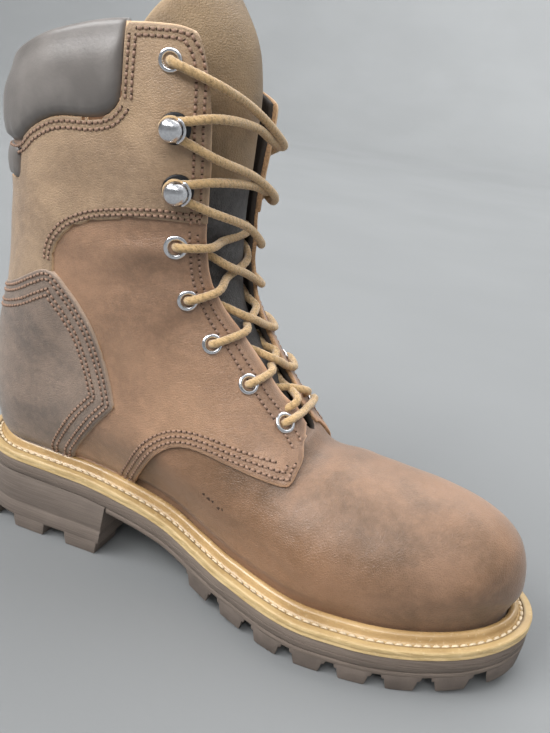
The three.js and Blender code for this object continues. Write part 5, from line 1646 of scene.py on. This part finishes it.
def around_hook(side, index):
    """Under a hook's head, round the side that faces away from the throat."""
    p, n, top = lacing_spot(side, index)
    up = np.array([0, 0, 1.0]) - n * n[2]
    up /= np.linalg.norm(up)
    ahead = np.array([1.0, 0, 0]) - n * n[0]
    ahead -= up * (ahead @ up)
    ahead /= np.linalg.norm(ahead)
    centre = p + n * (top + HOOK_NECK)
    turns = np.radians((-60, -90, -125, -160, 165, 130, 95, 62))
    return [centre + HOOK_LOOP * (ahead * math.cos(a) + up * math.sin(a)) for a in turns]


def out_of_eyelet(side, index, lift, aside):
    """From under the wall up through an eyelet and over its rim."""
    p, n, top = lacing_spot(side, index)
    return [p - n * 3.2, p + n * 1.0, p + n * (top + lift) + aside]


def lace_routes():
    """The lace in its runs, from the foot of the throat to the top."""
    foot = []
    for side in SIDES:
        p, n, top = lacing_spot(side, 0)
        foot.append([p + n * (top - 6), p + n * (top + 0.5), p + n * (top + 2.6) + (1.0, -side * 2.0, 0.6)])
    middle = ridge_point(105.5, 5.2)
    routes = [foot[0] + [middle + (0, -4.5, -0.5), middle, middle + (0, 4.5, -0.5)] + foot[1][::-1]]
    for side in SIDES:
        routes.append([
            throat_point(side, 104.5, -5.0, -6.0), throat_point(side, 108.0, -4.0, 1.5),
            ridge_point(112.5 + side * 0.6, 0.6 - side * 0.9),
            throat_point(-side, 116.0, -4.2, 1.0), throat_point(-side, 118.5, -5.6, -8.0)])
    for i in range(1, 4):
        for side in SIDES:
            target = lacing_spot(-side, i + 1)[0][2] - (3.0 if side < 0 else 0.0)
            routes.append(out_of_eyelet(side, i, 1.4, (0.7, 0, 0.3)) + cross_over(side, i, target))
    routes.append(out_of_eyelet(LATERAL, 4, 1.4, (0.7, 0, 0.3)) + cross_over(LATERAL, 4, 185.0))
    zigzag = out_of_eyelet(MEDIAL, 4, 1.6, (1.0, 0, 0.6))
    for kind, across, height, out in UPPER_LACING:
        if kind == "ridge":
            zigzag.append(ridge_point(height, out) + (0, across, 0))
        elif kind == "hook":
            zigzag += around_hook(across, height)
        else:
            zigzag.append(throat_point(across, height, out))
    p, n, top = lacing_spot(LATERAL, 7)
    zigzag += [p + n * (top + 2.6) + (1.6, 0, -0.8), p + n * (top - 0.6), p - n * 4.0]
    return routes + [zigzag]


def rope(points, radius, step=1.1, around=14, pitch=8.5):
    """A three-strand twisted cord along a smooth curve, with its ends closed."""
    points = np.asarray(points, float)
    chord = np.linalg.norm(np.diff(points, axis=0), axis=1) ** 0.5
    knots = np.concatenate([[0], np.cumsum(chord)])
    dense, m = [], len(points)
    for i in range(m - 1):
        p0 = points[i - 1] if i else 2 * points[0] - points[1]
        p3 = points[i + 2] if i + 2 < m else 2 * points[-1] - points[-2]
        t0 = knots[i - 1] if i else -chord[0]
        t3 = knots[i + 2] if i + 2 < m else knots[-1] + chord[-1]
        t1, t2 = knots[i], knots[i + 1]
        t = np.linspace(t1, t2, 14, endpoint=False)[:, None]
        a1 = (t1 - t) / (t1 - t0) * p0 + (t - t0) / (t1 - t0) * points[i]
        a2 = (t2 - t) / (t2 - t1) * points[i] + (t - t1) / (t2 - t1) * points[i + 1]
        a3 = (t3 - t) / (t3 - t2) * points[i + 1] + (t - t2) / (t3 - t2) * p3
        b1 = (t2 - t) / (t2 - t0) * a1 + (t - t0) / (t2 - t0) * a2
        b2 = (t3 - t) / (t3 - t1) * a2 + (t - t1) / (t3 - t1) * a3
        dense.append((t2 - t) / (t2 - t1) * b1 + (t - t1) / (t2 - t1) * b2)
    dense = np.concatenate(dense + [points[-1:]])
    along = length_along(dense)
    s = np.linspace(0, along[-1], max(int(along[-1] / step), 6))
    line = at_length(s, along, dense)
    run = np.gradient(line, axis=0)
    run /= np.linalg.norm(run, axis=1, keepdims=True)
    normal = np.cross(run[0], (0.3, 0.2, 1.0))
    normal /= np.linalg.norm(normal)
    angle = np.linspace(0, 2 * np.pi, around, endpoint=False)
    rings, lobes = [], []
    for i, (p, r) in enumerate(zip(line, run)):
        normal = normal - r * (normal @ r)
        normal /= np.linalg.norm(normal)
        across = np.cross(r, normal)
        lobe = np.abs(np.cos(LACE_LOBES * (angle - 2 * np.pi * s[i] / pitch)))
        size = radius * (0.88 + 0.13 * lobe)
        if i in (0, len(line) - 1):
            size = size * 0.35
        rings.append(p + size[:, None] * (np.cos(angle)[:, None] * normal + np.sin(angle)[:, None] * across))
        lobes.append(lobe)
    count = len(rings)
    faces = []
    for i in range(count - 1):
        for j in range(around):
            a, b = i * around + j, i * around + (j + 1) % around
            faces.append((a, b, b + around, a + around))
    faces += [tuple(range(around - 1, -1, -1)), tuple(range((count - 1) * around, count * around))]
    return np.concatenate(rings), faces, np.concatenate(lobes)


def build_lace():
    m = materials()
    look = bpy.context.scene.boot_look
    points, faces, lobes, start = [], [], [], 0
    for route in lace_routes():
        p, f, lobe = rope(route, look.lace_diameter / MM / 2)
        points.append(p)
        faces += [tuple(v + start for v in q) for q in f]
        lobes.append(lobe)
        start += len(p)
    piece = new_object("lace_cord", np.concatenate(points), faces, [m["lace"]], None,
                       {"lobe": np.concatenate(lobes)})
    finish_piece(piece, ["laces"])


# Stage
def soft_light(name, place, spread, strength):
    light = bpy.data.lights.new(name, "SUN")
    light.angle, light.energy = math.radians(spread), strength
    made = bpy.data.objects.new(name, light)
    made.location = place
    made.rotation_euler = (Vector(LIGHT_TARGET) - Vector(place)).to_track_quat("-Z", "Y").to_euler()
    bpy.context.scene.collection.objects.link(made)


def build_stage():
    look = bpy.context.scene.boot_look
    scene = bpy.context.scene
    mesh = bpy.data.meshes.new("floor")
    profile = [(r, FLOOR_Z) for r in (0.02, 0.5, FLOOR_FLAT)]
    for a in np.linspace(0.1, 1, 12) * math.pi / 2:
        profile.append((FLOOR_FLAT + FLOOR_BEND * math.sin(a), FLOOR_Z + FLOOR_BEND * (1 - math.cos(a))))
    profile.append((FLOOR_FLAT + FLOOR_BEND, FLOOR_WALL))
    points, faces = lathe(profile, 72)
    mesh.from_pydata(points, [], faces + [tuple(range(72))])
    mesh.polygons.foreach_set("use_smooth", np.ones(len(mesh.polygons), bool))
    s = Shader("floor_pale")
    weave = s.noise(260, 4, 0.6)
    wide = s.noise(3, 3, 0.5)
    colour = s.blend(s.ramp(wide, 0.3, 0.7), shade(look.floor, 0.97), shade(look.floor, 1.03))
    mesh.materials.append(s.use(colour, 0.9, s.bump(weave, 0.0002, 0.25)))
    floor = bpy.data.objects.new("floor", mesh)
    scene.collection.objects.link(floor)
    for (name, place, spread), strength in zip(LIGHTS, (look.key, look.fill, look.front)):
        soft_light(name, place, spread, strength)
    world = bpy.data.worlds.new("studio")
    world.use_nodes = True
    world.node_tree.nodes["Background"].inputs[0].default_value = (0.95, 0.97, 1.0, 1)
    world.node_tree.nodes["Background"].inputs[1].default_value = look.ambient
    scene.world = world
    scene.view_settings.view_transform = "Standard"
    camera = bpy.data.cameras.new("camera")
    camera.sensor_fit, camera.sensor_width = "AUTO", SENSOR
    camera.lens = FOCAL_PIXELS * SENSOR / PICTURE_PIXELS
    camera.clip_start = 0.02
    made = bpy.data.objects.new("camera", camera)
    a, e, r = (math.radians(v) for v in (AZIMUTH, ELEVATION, ROLL))
    back = Vector((math.sin(a) * math.cos(e), -math.cos(a) * math.cos(e), math.sin(e)))
    right = Vector((math.cos(a), math.sin(a), 0))
    up = back.cross(right)
    x_axis = right * math.cos(r) + up * math.sin(r)
    y_axis = up * math.cos(r) - right * math.sin(r)
    place = Vector(CAMERA_PLACE) * MM
    made.matrix_world = Matrix((
        (x_axis.x, y_axis.x, back.x, place.x), (x_axis.y, y_axis.y, back.y, place.y),
        (x_axis.z, y_axis.z, back.z, place.z), (0, 0, 0, 1)))
    scene.collection.objects.link(made)
    scene.camera = made


# Add-on
class BootLook(PropertyGroup):
    """Sizes and tones of the boot's visible detail."""

    stitch_pitch: FloatProperty(name="Stitch pitch", description="Distance between stitches", default=0.0029,
                                unit="LENGTH")
    stitch_length: FloatProperty(name="Stitch length", description="Length of one stitch", default=0.0027,
                                 unit="LENGTH")
    lace_diameter: FloatProperty(name="Lace diameter", description="Diameter of the round lace",
                                 default=0.0042, unit="LENGTH")
    brown: FloatVectorProperty(name="Brown", description="Main leather tone", default=(0.270, 0.155, 0.092),
                               subtype="COLOR")
    olive: FloatVectorProperty(name="Olive", description="Shaft leather tone", default=(0.300, 0.205, 0.128),
                               subtype="COLOR")
    floor: FloatVectorProperty(name="Floor", description="Tone of the floor", default=(0.190, 0.196, 0.198),
                               subtype="COLOR")
    key: FloatProperty(name="Key light", description="Strength of the main soft light", default=2.3)
    fill: FloatProperty(name="Fill light", description="Strength of the light at the near side", default=6.6)
    front: FloatProperty(name="Front light", description="Strength of the light at the front", default=4.6)
    ambient: FloatProperty(name="Ambient", description="Strength of the even surrounding light", default=0.85)


class BOOT_OT_stage(Operator):
    """Make the floor, the lights and the camera"""

    bl_idname = "boot.stage"
    bl_label = "Stage"

    def execute(self, context):
        build_stage()
        return {"FINISHED"}


class BOOT_OT_upper(Operator):
    """Make the hollow upper with its lining"""

    bl_idname = "boot.upper"
    bl_label = "Upper"

    def execute(self, context):
        build_upper()
        return {"FINISHED"}


class BOOT_OT_panels(Operator):
    """Make the counter, the quarters and the shaft panel"""

    bl_idname = "boot.panels"
    bl_label = "Panels"

    def execute(self, context):
        build_quarters()
        build_counter()
        build_shaft()
        build_back_strip()
        build_specks()
        return {"FINISHED"}


class BOOT_OT_collar(Operator):
    """Make the padded collar and the roll under it"""

    bl_idname = "boot.collar"
    bl_label = "Collar"

    def execute(self, context):
        build_collar()
        return {"FINISHED"}


class BOOT_OT_tongue(Operator):
    """Make the tongue"""

    bl_idname = "boot.tongue"
    bl_label = "Tongue"

    def execute(self, context):
        build_tongue()
        return {"FINISHED"}


class BOOT_OT_sole(Operator):
    """Make the welt, midsole, outsole, heel and insole"""

    bl_idname = "boot.sole"
    bl_label = "Sole"

    def execute(self, context):
        build_welt()
        build_midsole()
        build_outsole()
        build_heel()
        build_insole()
        return {"FINISHED"}


class BOOT_OT_metal(Operator):
    """Make the eyelets and the hooks"""

    bl_idname = "boot.metal"
    bl_label = "Eyelets and hooks"

    def execute(self, context):
        build_metal()
        return {"FINISHED"}


class BOOT_OT_stitches(Operator):
    """Make the stitch rows of the upper and the welt"""

    bl_idname = "boot.stitches"
    bl_label = "Stitches"

    def execute(self, context):
        build_stitches()
        return {"FINISHED"}


class BOOT_OT_lace(Operator):
    """Make the twisted lace"""

    bl_idname = "boot.lace"
    bl_label = "Lace"

    def execute(self, context):
        build_lace()
        return {"FINISHED"}


class BOOT_PT_panel(Panel):
    """Buttons and sizes of the boot"""

    bl_label = "Logger boot"
    bl_idname = "BOOT_PT_panel"
    bl_space_type = "VIEW_3D"
    bl_region_type = "UI"
    bl_category = "Boot"

    def draw(self, context):
        for operator in OPERATORS:
            self.layout.operator(operator.bl_idname)
        for key in BootLook.__annotations__:
            self.layout.prop(context.scene.boot_look, key)


OPERATORS = (BOOT_OT_stage, BOOT_OT_upper, BOOT_OT_panels, BOOT_OT_collar, BOOT_OT_tongue, BOOT_OT_sole,
             BOOT_OT_metal, BOOT_OT_stitches, BOOT_OT_lace)


def register():
    for item in (BootLook, *OPERATORS, BOOT_PT_panel):
        bpy.utils.register_class(item)
    bpy.types.Scene.boot_look = PointerProperty(type=BootLook)


def unregister():
    del bpy.types.Scene.boot_look
    for item in reversed((BootLook, *OPERATORS, BOOT_PT_panel)):
        bpy.utils.unregister_class(item)


def main():
    register()
    bpy.ops.boot.stage()
    bpy.ops.boot.upper()
    bpy.ops.boot.panels()
    bpy.ops.boot.collar()
    bpy.ops.boot.tongue()
    bpy.ops.boot.sole()
    bpy.ops.boot.metal()
    bpy.ops.boot.stitches()
    bpy.ops.boot.lace()


if __name__ == "__main__":
    main()
